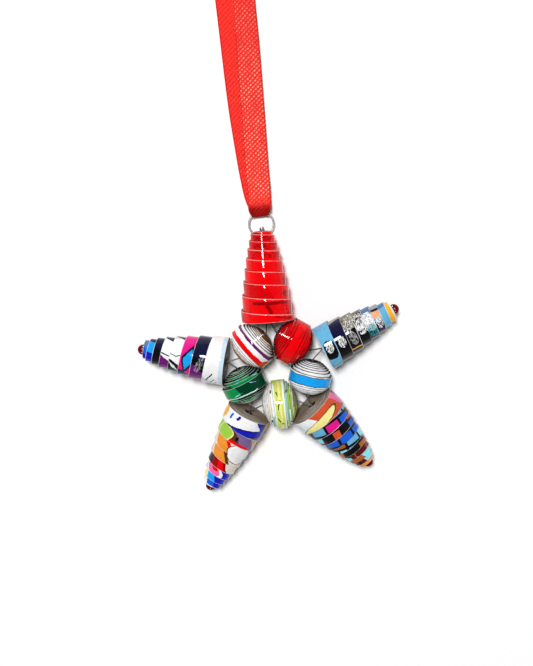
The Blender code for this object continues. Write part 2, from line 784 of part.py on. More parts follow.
def build():
    """Builds the ornament under one empty."""
    clear_scene()
    scene = bpy.context.scene
    collection = bpy.data.collections.new("paper_bead_star_ornament")
    cutters = bpy.data.collections.new("cutters")
    scene.collection.children.link(collection)
    scene.collection.children.link(cutters)
    root = bpy.data.objects.new("star_centre", None)
    collection.objects.link(root)

    steel = make_material("wire_steel", (0.55, 0.55, 0.56), 0.25, metallic=1.0)
    glass = make_material("seed_glass", (0.25, 0.01, 0.015), 0.08, coat=1.0)
    satin = make_material("ribbon_satin", (0.75, 0.02, 0.03), 0.45)

    solid = []
    for cone in CONES:
        card = make_material(f"card_{cone.name}", cone.colour, 0.25, coat=0.8)
        frame = FRAMES[cone.name]
        solid.append(add_object(f"cone_bead_{cone.name}", cone_mesh(cone), card, root, frame.matrix()))
        if not cone.carries_ring:
            seed_frame = axes_matrix(
                frame.left, -frame.along, frame.up, frame.at(seed_centre_distance(cone), 0, 0)
            )
            seed = turned(f"seed_bead_{cone.name}", seed_profile(), SEED_SEGMENTS, glass, root, seed_frame)
            solid.append(seed)
    for index, barrel in enumerate(BARRELS):
        card = make_material(f"card_{barrel.name}", barrel.colour, 0.25, coat=0.8)
        centre, bore = barrel_frame(index)
        up = Vector((0, 0, 1))
        matrix = axes_matrix(up.cross(bore), up, bore, centre)
        name = f"barrel_bead_{barrel.name}"
        solid.append(turned(name, barrel_profile(barrel), TURN_SEGMENTS, card, root, matrix))
    solid.append(round_wire("stringing_wire", wire_path(), WIRE_RADIUS, steel, root, Vector()))
    ring = make_ring(steel, root)
    solid.append(ring)
    ribbon = make_ribbon(satin, ring)
    make_knot(satin, ribbon, cutters)
    centre_over_base(root, solid)


build()
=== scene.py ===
"""Looks of the paper bead star ornament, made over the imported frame.

Every bead is modelled as it is made: a long strip of printed card is cut to its taper, given its
thickness, and rolled up on the bore. The rest is dark red glass, bright wire and red satin ribbon.

Lengths are in metres. Prints and weaves are drawn in millimetres on the flat strips.
"""

import json
import logging
import math
from dataclasses import dataclass, field
from enum import Enum
from typing import Any, Callable, Iterable, Optional, Sequence

import bmesh
import bpy
from mathutils import Matrix, Vector, noise


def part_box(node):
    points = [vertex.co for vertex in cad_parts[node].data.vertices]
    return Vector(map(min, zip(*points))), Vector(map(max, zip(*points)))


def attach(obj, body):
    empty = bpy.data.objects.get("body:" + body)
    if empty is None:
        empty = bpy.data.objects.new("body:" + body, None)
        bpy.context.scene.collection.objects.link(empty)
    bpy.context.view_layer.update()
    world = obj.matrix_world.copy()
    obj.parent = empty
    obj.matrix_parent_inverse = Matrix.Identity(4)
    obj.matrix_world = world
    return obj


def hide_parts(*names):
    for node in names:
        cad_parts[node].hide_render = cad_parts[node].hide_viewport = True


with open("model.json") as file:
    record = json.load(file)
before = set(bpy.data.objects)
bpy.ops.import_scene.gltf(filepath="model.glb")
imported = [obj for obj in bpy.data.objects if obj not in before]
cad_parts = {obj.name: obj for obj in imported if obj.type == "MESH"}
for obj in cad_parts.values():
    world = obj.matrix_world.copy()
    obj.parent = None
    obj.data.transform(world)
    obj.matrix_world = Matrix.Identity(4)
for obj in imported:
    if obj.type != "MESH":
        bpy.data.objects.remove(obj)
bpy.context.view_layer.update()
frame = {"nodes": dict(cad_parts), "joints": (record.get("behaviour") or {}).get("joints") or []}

LOG = logging.getLogger("star")
MM = 0.001
UP = Vector((0.0, 0.0, 1.0))
Colour = tuple[float, float, float]


class Ink(Enum):
    """Printing inks and papers, as linear colours."""

    RED = (0.86, 0.001, 0.003)
    SCARLET = (0.66, 0.001, 0.003)
    CRIMSON = (0.30, 0.001, 0.002)
    ROSE = (0.80, 0.10, 0.14)
    VERMILION = (0.66, 0.09, 0.03)
    ORANGE = (0.86, 0.30, 0.03)
    AMBER = (0.98, 0.46, 0.03)
    RUST = (0.46, 0.12, 0.02)
    PEACH = (0.86, 0.42, 0.24)
    LEMON = (0.94, 0.84, 0.32)
    LIME = (0.62, 0.76, 0.12)
    LEAF = (0.34, 0.62, 0.06)
    MINT = (0.22, 0.60, 0.36)
    EMERALD = (0.0, 0.26, 0.07)
    BOTTLE = (0.0, 0.045, 0.018)
    TEAL = (0.0, 0.36, 0.38)
    CYAN = (0.30, 0.80, 0.90)
    SKY = (0.14, 0.46, 0.72)
    AZURE = (0.01, 0.36, 0.88)
    COBALT = (0.01, 0.12, 0.72)
    ROYAL = (0.008, 0.012, 0.50)
    STEEL_BLUE = (0.10, 0.18, 0.36)
    NAVY = (0.006, 0.008, 0.040)
    BLACK = (0.004, 0.004, 0.005)
    PURPLE = (0.16, 0.006, 0.18)
    VIOLET = (0.20, 0.13, 0.30)
    MAGENTA = (0.80, 0.010, 0.26)
    PINK = (0.90, 0.16, 0.40)
    MAROON = (0.11, 0.006, 0.008)
    BROWN = (0.10, 0.035, 0.012)
    TAN = (0.58, 0.40, 0.24)
    CREAM = (0.86, 0.78, 0.66)
    OLIVE = (0.26, 0.24, 0.17)
    GREY = (0.36, 0.36, 0.38)
    LILAC = (0.66, 0.66, 0.80)
    ICE = (0.62, 0.78, 0.90)
    WHITE = (0.92, 0.92, 0.93)


class Outline(Enum):
    """The outline of a printed mark, by the power of its superellipse."""

    DIAMOND = 1.0
    DISC = 2.0
    PILLOW = 3.6
    BLOCK = 14.0


@dataclass(frozen=True)
class Field:
    """Where a new printed colour starts: a turn counted from the outside, and degrees round the bore."""

    turn: int
    degrees: float
    ink: Ink


@dataclass(frozen=True)
class Mark:
    """One printed shape: its place on the rolled bead, and its half sizes in millimetres.

    `across` is the place of its middle over the visible width of its turn, 0 at the turn that lies on
    it and 1 at its own edge, and less than 0 on a barrel's far side. `half_round` runs round the bead
    and `half_along` along it, `tilt` turns them, and `speckle` is the share that prints.
    """

    turn: int
    degrees: float
    across: float
    half_round: float
    half_along: float
    ink: Ink
    outline: Outline = Outline.DISC
    tilt: float = 0.0
    rim: float = 0.0
    rim_ink: Ink = Ink.BLACK
    speckle: float = 1.0


class Bench:
    """Adds nodes to one tree and wires them. All but `feed` and `add` give back output sockets."""

    def __init__(self, tree: bpy.types.NodeTree) -> None:
        """Takes the tree to work on."""
        self.tree = tree

    def feed(self, node: bpy.types.Node, inputs: dict[Any, Any]) -> None:
        """Links sockets into a node's inputs, or sets their values.

        Args:
            node: The node to feed.
            inputs: Input names or numbers, each with a socket, a number, a vector, a colour or an ink.
        """
        for name, value in inputs.items():
            if isinstance(value, bpy.types.NodeSocket):
                self.tree.links.new(value, node.inputs[name])
            else:
                node.inputs[name].default_value = (*value.value, 1.0) if isinstance(value, Ink) else value

    def add(self, kind: str, inputs: Optional[dict[Any, Any]] = None, **settings: Any) -> bpy.types.Node:
        """Adds one node.

        Args:
            kind: The node's type without the word ShaderNode.
            inputs: Input names or numbers with what feeds them.
            **settings: The node's own settings.

        Returns:
            The new node.
        """
        node = self.tree.nodes.new(f"ShaderNode{kind}")
        for name, value in settings.items():
            setattr(node, name, value)
        self.feed(node, inputs or {})
        return node

    def math(self, operation: str, first: Any, second: Any = 0.0, clamp: bool = False) -> Any:
        """One step of arithmetic."""
        return self.add("Math", {0: first, 1: second}, operation=operation, use_clamp=clamp).outputs[0]

    def plus(self, first: Any, second: Any) -> Any:
        """The sum of two numbers."""
        return self.math("ADD", first, second)

    def minus(self, first: Any, second: Any) -> Any:
        """One number less another."""
        return self.math("SUBTRACT", first, second)

    def times(self, first: Any, second: Any) -> Any:
        """The product of two numbers."""
        return self.math("MULTIPLY", first, second)

    def wave(self, phase: Any) -> Any:
        """A sine between 0 and 1."""
        return self.times(self.plus(self.math("SINE", phase), 1.0), 0.5)

    def vector(self, operation: str, first: Any, second: Any = (0.0, 0.0, 0.0)) -> Any:
        """One step of vector arithmetic."""
        return self.add("VectorMath", {0: first, 1: second}, operation=operation).outputs[0]

    def parts(self, vector: Any) -> Any:
        """A vector's three numbers."""
        return self.add("SeparateXYZ", {0: vector}).outputs

    def turned(self, vector: Any, angle: Any) -> Any:
        """A vector turned about Z, by an angle in radians."""
        return self.add("VectorRotate", {"Vector": vector, "Angle": angle}, rotation_type="Z_AXIS").outputs[0]

    def blend(self, factor: Any, first: Any, second: Any, mode: str = "MIX") -> Any:
        """Mixes two colours."""
        node = self.add("Mix", {0: factor, 6: first, 7: second}, data_type="RGBA", blend_type=mode)
        return node.outputs[2]

    def toned(self, colour: Any, tone: Any) -> Any:
        """A colour times a number."""
        grey = self.add("CombineXYZ", {0: tone, 1: tone, 2: tone}).outputs[0]
        return self.blend(1.0, colour, grey, "MULTIPLY")

    def span(self, value: Any, low: float, high: float, start: float = 0.0, end: float = 1.0) -> Any:
        """Maps a range onto another, held at both ends."""
        inputs = {0: value, 1: low, 2: high, 3: start, 4: end}
        return self.add("MapRange", inputs, clamp=True).outputs[0]

    def ramp(self, factor: Any, stops: Sequence[tuple[float, Colour]], step: str = "LINEAR") -> Any:
        """A colour ramp with these stops, in order."""
        node = self.add("ValToRGB", {0: factor})
        node.color_ramp.interpolation = step
        elements = node.color_ramp.elements
        while len(elements) > 1:
            elements.remove(elements[-1])
        elements[0].position = stops[0][0]
        elements[0].color = (*stops[0][1], 1.0)
        for position, colour in stops[1:]:
            elements.new(position).color = (*colour, 1.0)
        return node.outputs[0]

    def noise(self, vector: Any, scale: float, detail: float = 2.0, rough: float = 0.5) -> Any:
        """A noise value around a half."""
        inputs = {"Vector": vector, "Scale": scale, "Detail": detail, "Roughness": rough}
        return self.add("TexNoise", inputs).outputs[0]

    def bump(self, height: Any, distance: float, strength: float) -> Any:
        """A bump normal from a height."""
        return self.add("Bump", {"Strength": strength, "Distance": distance, "Height": height}).outputs[0]

    def uv(self, name: str) -> Any:
        """One of the piece's own UV maps."""
        return self.add("UVMap", uv_map=name).outputs[0]

    def attribute(self, name: str) -> Any:
        """A number that the piece's points carry."""
        return self.add("Attribute", attribute_name=name).outputs["Fac"]

    def millimetres(self) -> Any:
        """The place on the object, in millimetres."""
        return self.vector("MULTIPLY", self.add("TexCoord").outputs["Object"], (1000.0, 1000.0, 1000.0))


@dataclass(frozen=True)
class Effect:
    """A shader effect that materials share: a node group that is built once.

    Its inputs are vectors and then numbers, and its outputs are numbers. `draw` fills the group: it gets
    a Bench and the input sockets, and returns the output sockets by name.
    """

    name: str
    vectors: tuple[str, ...]
    numbers: tuple[str, ...]
    draw: Callable[[Bench, Any], dict[str, Any]]

    def tree(self) -> bpy.types.NodeTree:
        """Finds the node group, or builds it."""
        found = bpy.data.node_groups.get(self.name)
        if found:
            return found
        group = bpy.data.node_groups.new(self.name, "ShaderNodeTree")
        for kind, labels in (("Vector", self.vectors), ("Float", self.numbers)):
            for label in labels:
                group.interface.new_socket(label, in_out="INPUT", socket_type=f"NodeSocket{kind}")
        results = self.draw(Bench(group), group.nodes.new("NodeGroupInput").outputs)
        for label in results:
            group.interface.new_socket(label, in_out="OUTPUT", socket_type="NodeSocketFloat")
        leave = group.nodes.new("NodeGroupOutput")
        for label, result in results.items():
            group.links.new(result, leave.inputs[label])
        return group

    def place(self, bench: Bench, **values: Any) -> Any:
        """Places the effect in a material.

        Args:
            bench: The material's Bench.
            **values: What feeds each input, by the input's name.

        Returns:
            The output sockets, by name.
        """
        node = bench.add("Group", node_tree=self.tree())
        bench.feed(node, values)
        return node.outputs


def draw_varnish(bench: Bench, given: Any) -> dict[str, Any]:
    """Brushed varnish: slow waves, small dimples and a few dull spots."""
    waves = bench.noise(given["Place"], 0.5, 1.0)
    dimples = bench.noise(given["Place"], 2.3, 2.0, 0.6)
    height = bench.plus(bench.times(waves, 0.7), bench.times(dimples, 0.75))
    dull = bench.span(bench.noise(given["Place"], 1.3, 3.0, 0.65), 0.45, 0.72)
    return {"Roughness": bench.plus(given["Gloss"], bench.times(dull, 0.14)), "Height": height}


def draw_fields(bench: Bench, given: Any) -> dict[str, Any]:
    """The place along the strip, with the borders of the printed fields slanted and wandering."""
    slow = bench.noise(given["Print"], 0.16, 1.5)
    wander = bench.times(bench.minus(slow, 0.5), given["Wander"])
    slant = bench.times(bench.parts(given["Border"])[0], given["Slant"])
    moved = bench.plus(bench.plus(given["Turns"], wander), slant)
    return {"Share": bench.math("SUBTRACT", 1.0, bench.math("DIVIDE", moved, given["Count"]), clamp=True)}


def draw_mark(bench: Bench, given: Any) -> dict[str, Any]:
    """A printed superellipse with a slightly uneven edge, and the outline round it."""
    uneven = bench.add("TexNoise", {"Vector": given["Print"], "Scale": 0.8, "Detail": 1.0}).outputs["Color"]
    shift = bench.vector("MULTIPLY", bench.vector("SUBTRACT", uneven, (0.5, 0.5, 0.5)), (0.5, 0.5, 0.0))
    place = bench.vector("SUBTRACT", bench.vector("ADD", given["Print"], shift), given["Centre"])
    scaled = bench.vector("DIVIDE", bench.turned(place, given["Tilt"]), given["Size"])
    parts, power = bench.parts(bench.vector("ABSOLUTE", scaled)), given["Power"]
    total = bench.plus(bench.math("POWER", parts[0], power), bench.math("POWER", parts[1], power))
    reach = bench.math("POWER", total, bench.math("DIVIDE", 1.0, power))
    whole = bench.math("LESS_THAN", reach, bench.plus(1.0, given["Rim"]))
    return {"Inside": bench.math("LESS_THAN", reach, 1.0), "Whole": whole}


def draw_press(bench: Bench, given: Any) -> dict[str, Any]:
    """How evenly the ink lies, where paper shows at a rubbed border, and the line along the edges."""
    grain = bench.noise(given["Print"], 7.0, 2.0, 0.7)
    cloud = bench.noise(given["Print"], 0.7, 2.0)
    tone = bench.plus(bench.span(grain, 0.3, 0.7, 0.90, 1.06), bench.span(cloud, 0.3, 0.7, -0.07, 0.05))
    parts = bench.parts(given["Border"])
    nearest = bench.math("MINIMUM", parts[0], parts[1])
    ragged = bench.times(bench.noise(given["Print"], 2.6, 3.0, 0.7), given["Wear"])
    rubbed = bench.span(bench.minus(ragged, nearest), 0.0, 0.03)
    waver = bench.times(bench.noise(given["Print"], 0.9, 2.0, 0.6), bench.times(given["Line"], 2.0))
    return {"Tone": tone, "Rubbed": rubbed, "Line": bench.span(bench.minus(waver, nearest), 0.0, 0.05)}


def draw_board(bench: Bench, given: Any) -> dict[str, Any]:
    """The cut edge of card: fibres along the ply, and small spots; the painted shade down in the step is
    drawn by CutBoard.
    """
    fibre = bench.noise(bench.vector("MULTIPLY", given["Print"], (1.6, 9.0, 1.0)), 1.0, 3.0, 0.7)
    spots = bench.noise(given["Print"], 4.5, 2.0, 0.6)
    tone = bench.plus(bench.span(fibre, 0.3, 0.7, 0.70, 1.08), bench.span(spots, 0.35, 0.7, -0.12, 0.08))
    return {"Tone": tone, "Height": bench.plus(fibre, bench.times(spots, 0.5))}


def draw_weave(bench: Bench, given: Any) -> dict[str, Any]:
    """Satin weave: long floats on a diagonal, a woven selvedge at both edges, uneven pile, and bright dashes
    that mask the painted highlights.
    """
    along, across, _ = bench.parts(given["Cloth"])
    wobble = bench.times(bench.noise(given["Cloth"], 0.5, 2.0), 0.5)
    rise, run = bench.times(along, 0.86), bench.times(across, 0.78)
    rib = bench.wave(bench.times(bench.plus(bench.plus(rise, run), wobble), given["Ribs"]))
    thread = bench.wave(bench.times(across, 42.0))
    floats = bench.noise(bench.vector("MULTIPLY", given["Cloth"], (0.9, 6.0, 1.0)), 1.0, 3.0, 0.6)
    inward = bench.minus(given["Half"], bench.math("ABSOLUTE", across))
    selvedge = bench.span(inward, 0.42, 0.34)
    height = bench.plus(bench.times(rib, 0.75), bench.times(thread, 0.18))
    height = bench.plus(height, bench.times(floats, 0.35))
    edge_height = bench.plus(0.5, bench.times(bench.wave(bench.times(along, 16.0)), 0.6))
    mixed = bench.add("Mix", {0: selvedge, 2: height, 3: edge_height}, data_type="FLOAT").outputs[0]
    # Bright dashes along the floats: the mask for painted highlights.
    beat = bench.math("SINE", bench.times(bench.plus(bench.minus(rise, run), wobble), given["Ribs"]))
    dash = bench.times(bench.span(rib, 0.48, 0.92), bench.span(beat, -0.9, 0.45))
    sheen = bench.times(dash, bench.span(floats, 0.34, 0.58))
    return {"Height": mixed, "Selvedge": selvedge, "Glint": sheen, "Floats": floats}


VARNISH = Effect("varnish", ("Place",), ("Gloss",), draw_varnish)
FIELDS = Effect("printed_fields", ("Print", "Border"), ("Turns", "Count", "Slant", "Wander"), draw_fields)
MARK = Effect("printed_mark", ("Print", "Centre", "Size"), ("Tilt", "Power", "Rim"), draw_mark)
PRESS = Effect("ink_on_paper", ("Print", "Border"), ("Wear", "Line"), draw_press)
BOARD = Effect("cut_board", ("Print",), (), draw_board)
WEAVE = Effect("satin_weave", ("Cloth",), ("Ribs", "Half"), draw_weave)
RAMP_LIMIT = 30  # Blender's ramps hold 32 stops.


def new_material(name: str) -> tuple[bpy.types.Material, Bench, bpy.types.Node]:
    """A new material with its Bench and its Principled shader."""
    material = bpy.data.materials.new(name)
    material.use_nodes = True
    return material, Bench(material.node_tree), material.node_tree.nodes["Principled BSDF"]


@dataclass(frozen=True)
class Tiles:
    """A printed patchwork of small tiles between dark joints, over a stretch of the strip."""

    first_turn: float
    last_turn: float
    width: float
    height: float
    joint: float
    tilt: float
    inks: tuple[Ink, ...]


@dataclass(frozen=True)
class CutBoard:
    """Finish of the card's cut edges and its unprinted back.

    `shade` is painted shade at the foot of each step. `end` is the colour of the edges at the bead's
    flat end, where they are unlike those of its steps: bare board on the lower cones, and near black on
    the top, left and right cones, as painted shade where those ends face the barrels. `end_shade`
    darkens each turn at its surfaces there, as painted shade in the gaps between turns.
    """

    core: Colour = (0.19, 0.14, 0.10)
    face: Colour = (0.80, 0.76, 0.72)
    # Painted shade at the foot of each step.
    shade: Colour = (0.012, 0.008, 0.006)
    end: Optional[Colour] = None
    end_shade: float = 0.45
    end_height: float = 0.25

    def material(self, name: str) -> bpy.types.Material:
        """Draws the card's layers: painted shade at the foot of each step, the grey core, the pale face."""
        material, bench, shader = new_material(name)
        layer, print_map = bench.attribute("layer"), bench.uv("print")
        # The foot of each step is painted shade; then come the card's core and its pale face.
        layers_and_shade = bench.ramp(layer, [
            (0.0, self.shade), (0.30, self.shade), (0.48, self.core), (0.80, self.core), (0.90, self.face),
        ])
        if self.end:
            # Flat end: its own colour, near black as painted shade on three cones, and painted shade between
            # turns.
            dark = tuple(value * self.end_shade for value in self.end)
            end_board_and_shade = bench.ramp(layer, [(0.0, dark), (0.3, self.end), (0.8, self.end), (1.0, dark)])
            at_end = bench.math("LESS_THAN", bench.parts(print_map)[1], self.end_height)
            layers_and_shade = bench.blend(at_end, layers_and_shade, end_board_and_shade)
        board = BOARD.place(bench, Print=print_map)
        bench.feed(shader, {
            "Base Color": bench.toned(layers_and_shade, board["Tone"]), "Roughness": 0.6, "Specular IOR Level": 0.2,
            "Coat Weight": 0.3, "Coat Roughness": 0.2, "Normal": bench.bump(board["Height"], 0.00006, 0.8),
        })
        return material


@dataclass(frozen=True)
class PrintedCard:
    """Finish of the card's printed and varnished face.

    `fields` are read in the order of the strip, from the bead's core to its outer end. On a barrel,
    `far_fields` are those beyond its widest turn, seen along the bore. The line along the strip's edges
    is the card's pale cut edge on the cones; on the barrels it is dark, partly the card's edge and partly
    painted shade down in the step.
    """

    fields: tuple[Field, ...]
    far_fields: tuple[Field, ...] = ()
    marks: tuple[Mark, ...] = ()
    tiles: Optional[Tiles] = None
    slant: float = 0.012
    wander: float = 0.10
    wear: float = 0.05
    gloss: float = 0.20
    paper: Ink = Ink.WHITE
    line: float = 0.12
    # Colour of the line along the edges: the card's cut edge, and on the barrels also painted shade in the
    # step.
    edge_line_and_shade: Colour = (0.72, 0.72, 0.74)
    board: CutBoard = field(default_factory=CutBoard)

    def stops(self, fields: Sequence[Field], bead: "RolledBead") -> list[tuple[float, Colour]]:
        """The ramp's stops for these fields, in the strip's order."""
        placed = sorted((1.0 - bead.turns_from_end(spot.turn, spot.degrees) / bead.ramp_turns, spot.ink.value)
                        for spot in fields)
        return [(max(0.0, min(1.0, position)), ink) for position, ink in placed]

    def row(self, bench: Bench, fields: Sequence[Field], bead: "RolledBead", share: Any) -> Any:
        """These fields as a colour socket, from a second ramp too where one can't hold them all."""
        stops = self.stops(fields, bead)
        colour = bench.ramp(share, stops[:RAMP_LIMIT], "CONSTANT")
        if len(stops) <= RAMP_LIMIT:
            return colour
        past = bench.math("GREATER_THAN", share, stops[RAMP_LIMIT][0])
        return bench.blend(past, colour, bench.ramp(share, stops[RAMP_LIMIT:], "CONSTANT"))

    def ground(self, bench: Bench, bead: "RolledBead", share: Any) -> Any:
        """The printed fields, as a colour socket."""
        near = self.row(bench, self.fields, bead, share)
        if not self.far_fields:
            return near
        far = self.row(bench, self.far_fields, bead, share)
        return bench.blend(bench.math("GREATER_THAN", bench.parts(bench.uv("print"))[1], 0.0), near, far)

    def tiled(self, bench: Bench, below: Any, turns: Any) -> Any:
        """Lays the patchwork over a colour socket."""
        tiles = self.tiles
        brick = bench.add("TexBrick", {
            "Vector": bench.turned(bench.uv("print"), tiles.tilt),
            "Color1": (0, 0, 0, 1), "Color2": (1, 1, 1, 1), "Mortar": (0, 0, 0, 1),
            "Scale": 1.0, "Mortar Size": tiles.joint, "Mortar Smooth": 0.0, "Bias": 0.0,
            "Brick Width": tiles.width, "Row Height": tiles.height,
        }, offset=0.37, squash=0.62, squash_frequency=3)
        step = 1.0 / len(tiles.inks)
        stops = [(index * step, ink.value) for index, ink in enumerate(tiles.inks)]
        coloured = bench.ramp(brick.outputs["Color"], stops, "CONSTANT")
        patch = bench.blend(brick.outputs["Fac"], coloured, Ink.BLACK)
        past_first = bench.math("GREATER_THAN", turns, tiles.first_turn)
        before_last = bench.math("LESS_THAN", turns, tiles.last_turn)
        return bench.blend(bench.times(past_first, before_last), below, patch)

    def marked(self, bench: Bench, bead: "RolledBead", mark: Mark, below: Any) -> Any:
        """Prints one mark over a colour socket."""
        print_map, tilt = bench.uv("print"), math.radians(mark.tilt)
        made = MARK.place(
            bench, Print=print_map, Centre=(*bead.place_on_strip(mark), 0.0),
            Size=(mark.half_round, mark.half_along, 1.0), Tilt=tilt, Power=mark.outline.value, Rim=mark.rim,
        )
        rimmed = bench.blend(made["Whole"], below, mark.rim_ink) if mark.rim else below
        inside = made["Inside"]
        if mark.speckle < 1.0:
            stretched = bench.vector("MULTIPLY", bench.turned(print_map, tilt), (0.8, 2.2, 1.0))
            grain = bench.noise(stretched, 1.5, 3.0, 0.8)
            inside = bench.times(inside, bench.math("GREATER_THAN", grain, 0.62 - 0.24 * mark.speckle))
        return bench.blend(inside, rimmed, mark.ink)

    def material(self, bead: "RolledBead") -> bpy.types.Material:
        """Draws the print, its wear and the varnish over it."""
        material, bench, shader = new_material(f"print_{bead.name}")
        print_map, border, turns = bench.uv("print"), bench.uv("border"), bench.attribute("turns")
        fields = FIELDS.place(bench, Print=print_map, Border=border, Turns=turns, Count=bead.ramp_turns,
                              Slant=self.slant, Wander=self.wander)
        colour = self.ground(bench, bead, fields["Share"])
        if self.tiles:
            colour = self.tiled(bench, colour, turns)
        for mark in self.marks:
            colour = self.marked(bench, bead, mark, colour)
        press = PRESS.place(bench, Print=print_map, Border=border, Wear=self.wear, Line=self.line)
        colour = bench.blend(press["Rubbed"], bench.toned(colour, press["Tone"]), self.paper)
        # The line along the edges: the card's cut edge, and on the barrels also painted shade in the step.
        colour = bench.blend(bench.times(press["Line"], 0.85), colour, (*self.edge_line_and_shade, 1.0))
        varnish = VARNISH.place(bench, Place=print_map, Gloss=self.gloss)
        bench.feed(shader, {
            "Base Color": colour, "Roughness": varnish["Roughness"], "Specular IOR Level": 0.0,
            "Coat Weight": 1.0, "Coat IOR": 1.28, "Coat Roughness": 0.05,
            "Normal": bench.bump(varnish["Height"], 0.00035, 0.9),
        })
        return material


def joint_named(name: str) -> dict[str, Any]:
    """The frame's entry for a joint."""
    return next(joint for joint in frame["joints"] if joint["name"] == name)


def bead_frame(joint_name: str) -> Matrix:
    """The frame of a bead from its spin joint: +Z along the bore, +Y as near up as it can be.

    Args:
        joint_name: The joint that the bead spins on.

    Returns:
        The matrix from the bead's own space to the object's.
    """
    joint = joint_named(joint_name)
    along = Vector(joint["axis"]).normalized()
    up = (UP - along * UP.dot(along)).normalized()
    left = up.cross(along)
    turn = Matrix((left, up, along)).transposed().to_4x4()
    return Matrix.Translation(Vector(joint["pos_m"])) @ turn


def seed_frame(cone: str) -> Matrix:
    """The frame of a seed bead: +Z through its hole, which stands across its cone's bore."""
    left, up, along, _ = bead_frame(f"cone_{cone}_spin").col
    low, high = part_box(f"seed_bead_{cone}")
    turn = Matrix((left[:3], (-along)[:3], up[:3])).transposed().to_4x4()
    return Matrix.Translation((Vector(low) + Vector(high)) / 2) @ turn


def finish_piece(name: str, work: bmesh.types.BMesh,
                 materials: Iterable[bpy.types.Material]) -> bpy.types.Object:
    """Turns a bmesh into a linked object at the origin.

    Args:
        name: The piece's name.
        work: The finished bmesh, which is freed.
        materials: Its materials, in the order of its faces' numbers.

    Returns:
        The new object.
    """
    mesh = bpy.data.meshes.new(name)
    work.to_mesh(mesh)
    work.free()
    piece = bpy.data.objects.new(name, mesh)
    for material in materials:
        mesh.materials.append(material)
    bpy.context.scene.collection.objects.link(piece)
    return piece


def smooth(piece: bpy.types.Object, degrees: float = 38.0) -> None:
    """Smooths a piece's faces and keeps its real edges sharp."""
    piece.data.shade_smooth()
    piece.data.set_sharp_from_angle(angle=math.radians(degrees))


def settle(piece: bpy.types.Object, node: str, body: str) -> bpy.types.Object:
    """Puts a finished piece in the place of its CAD node, and logs it.

    Args:
        piece: The piece.
        node: The CAD node that it replaces.
        body: The body that it rides on.

    Returns:
        The same piece.
    """
    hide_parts(node)
    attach(piece, body)
    LOG.info("%s: %d faces", piece.name, len(piece.data.polygons))
    return piece


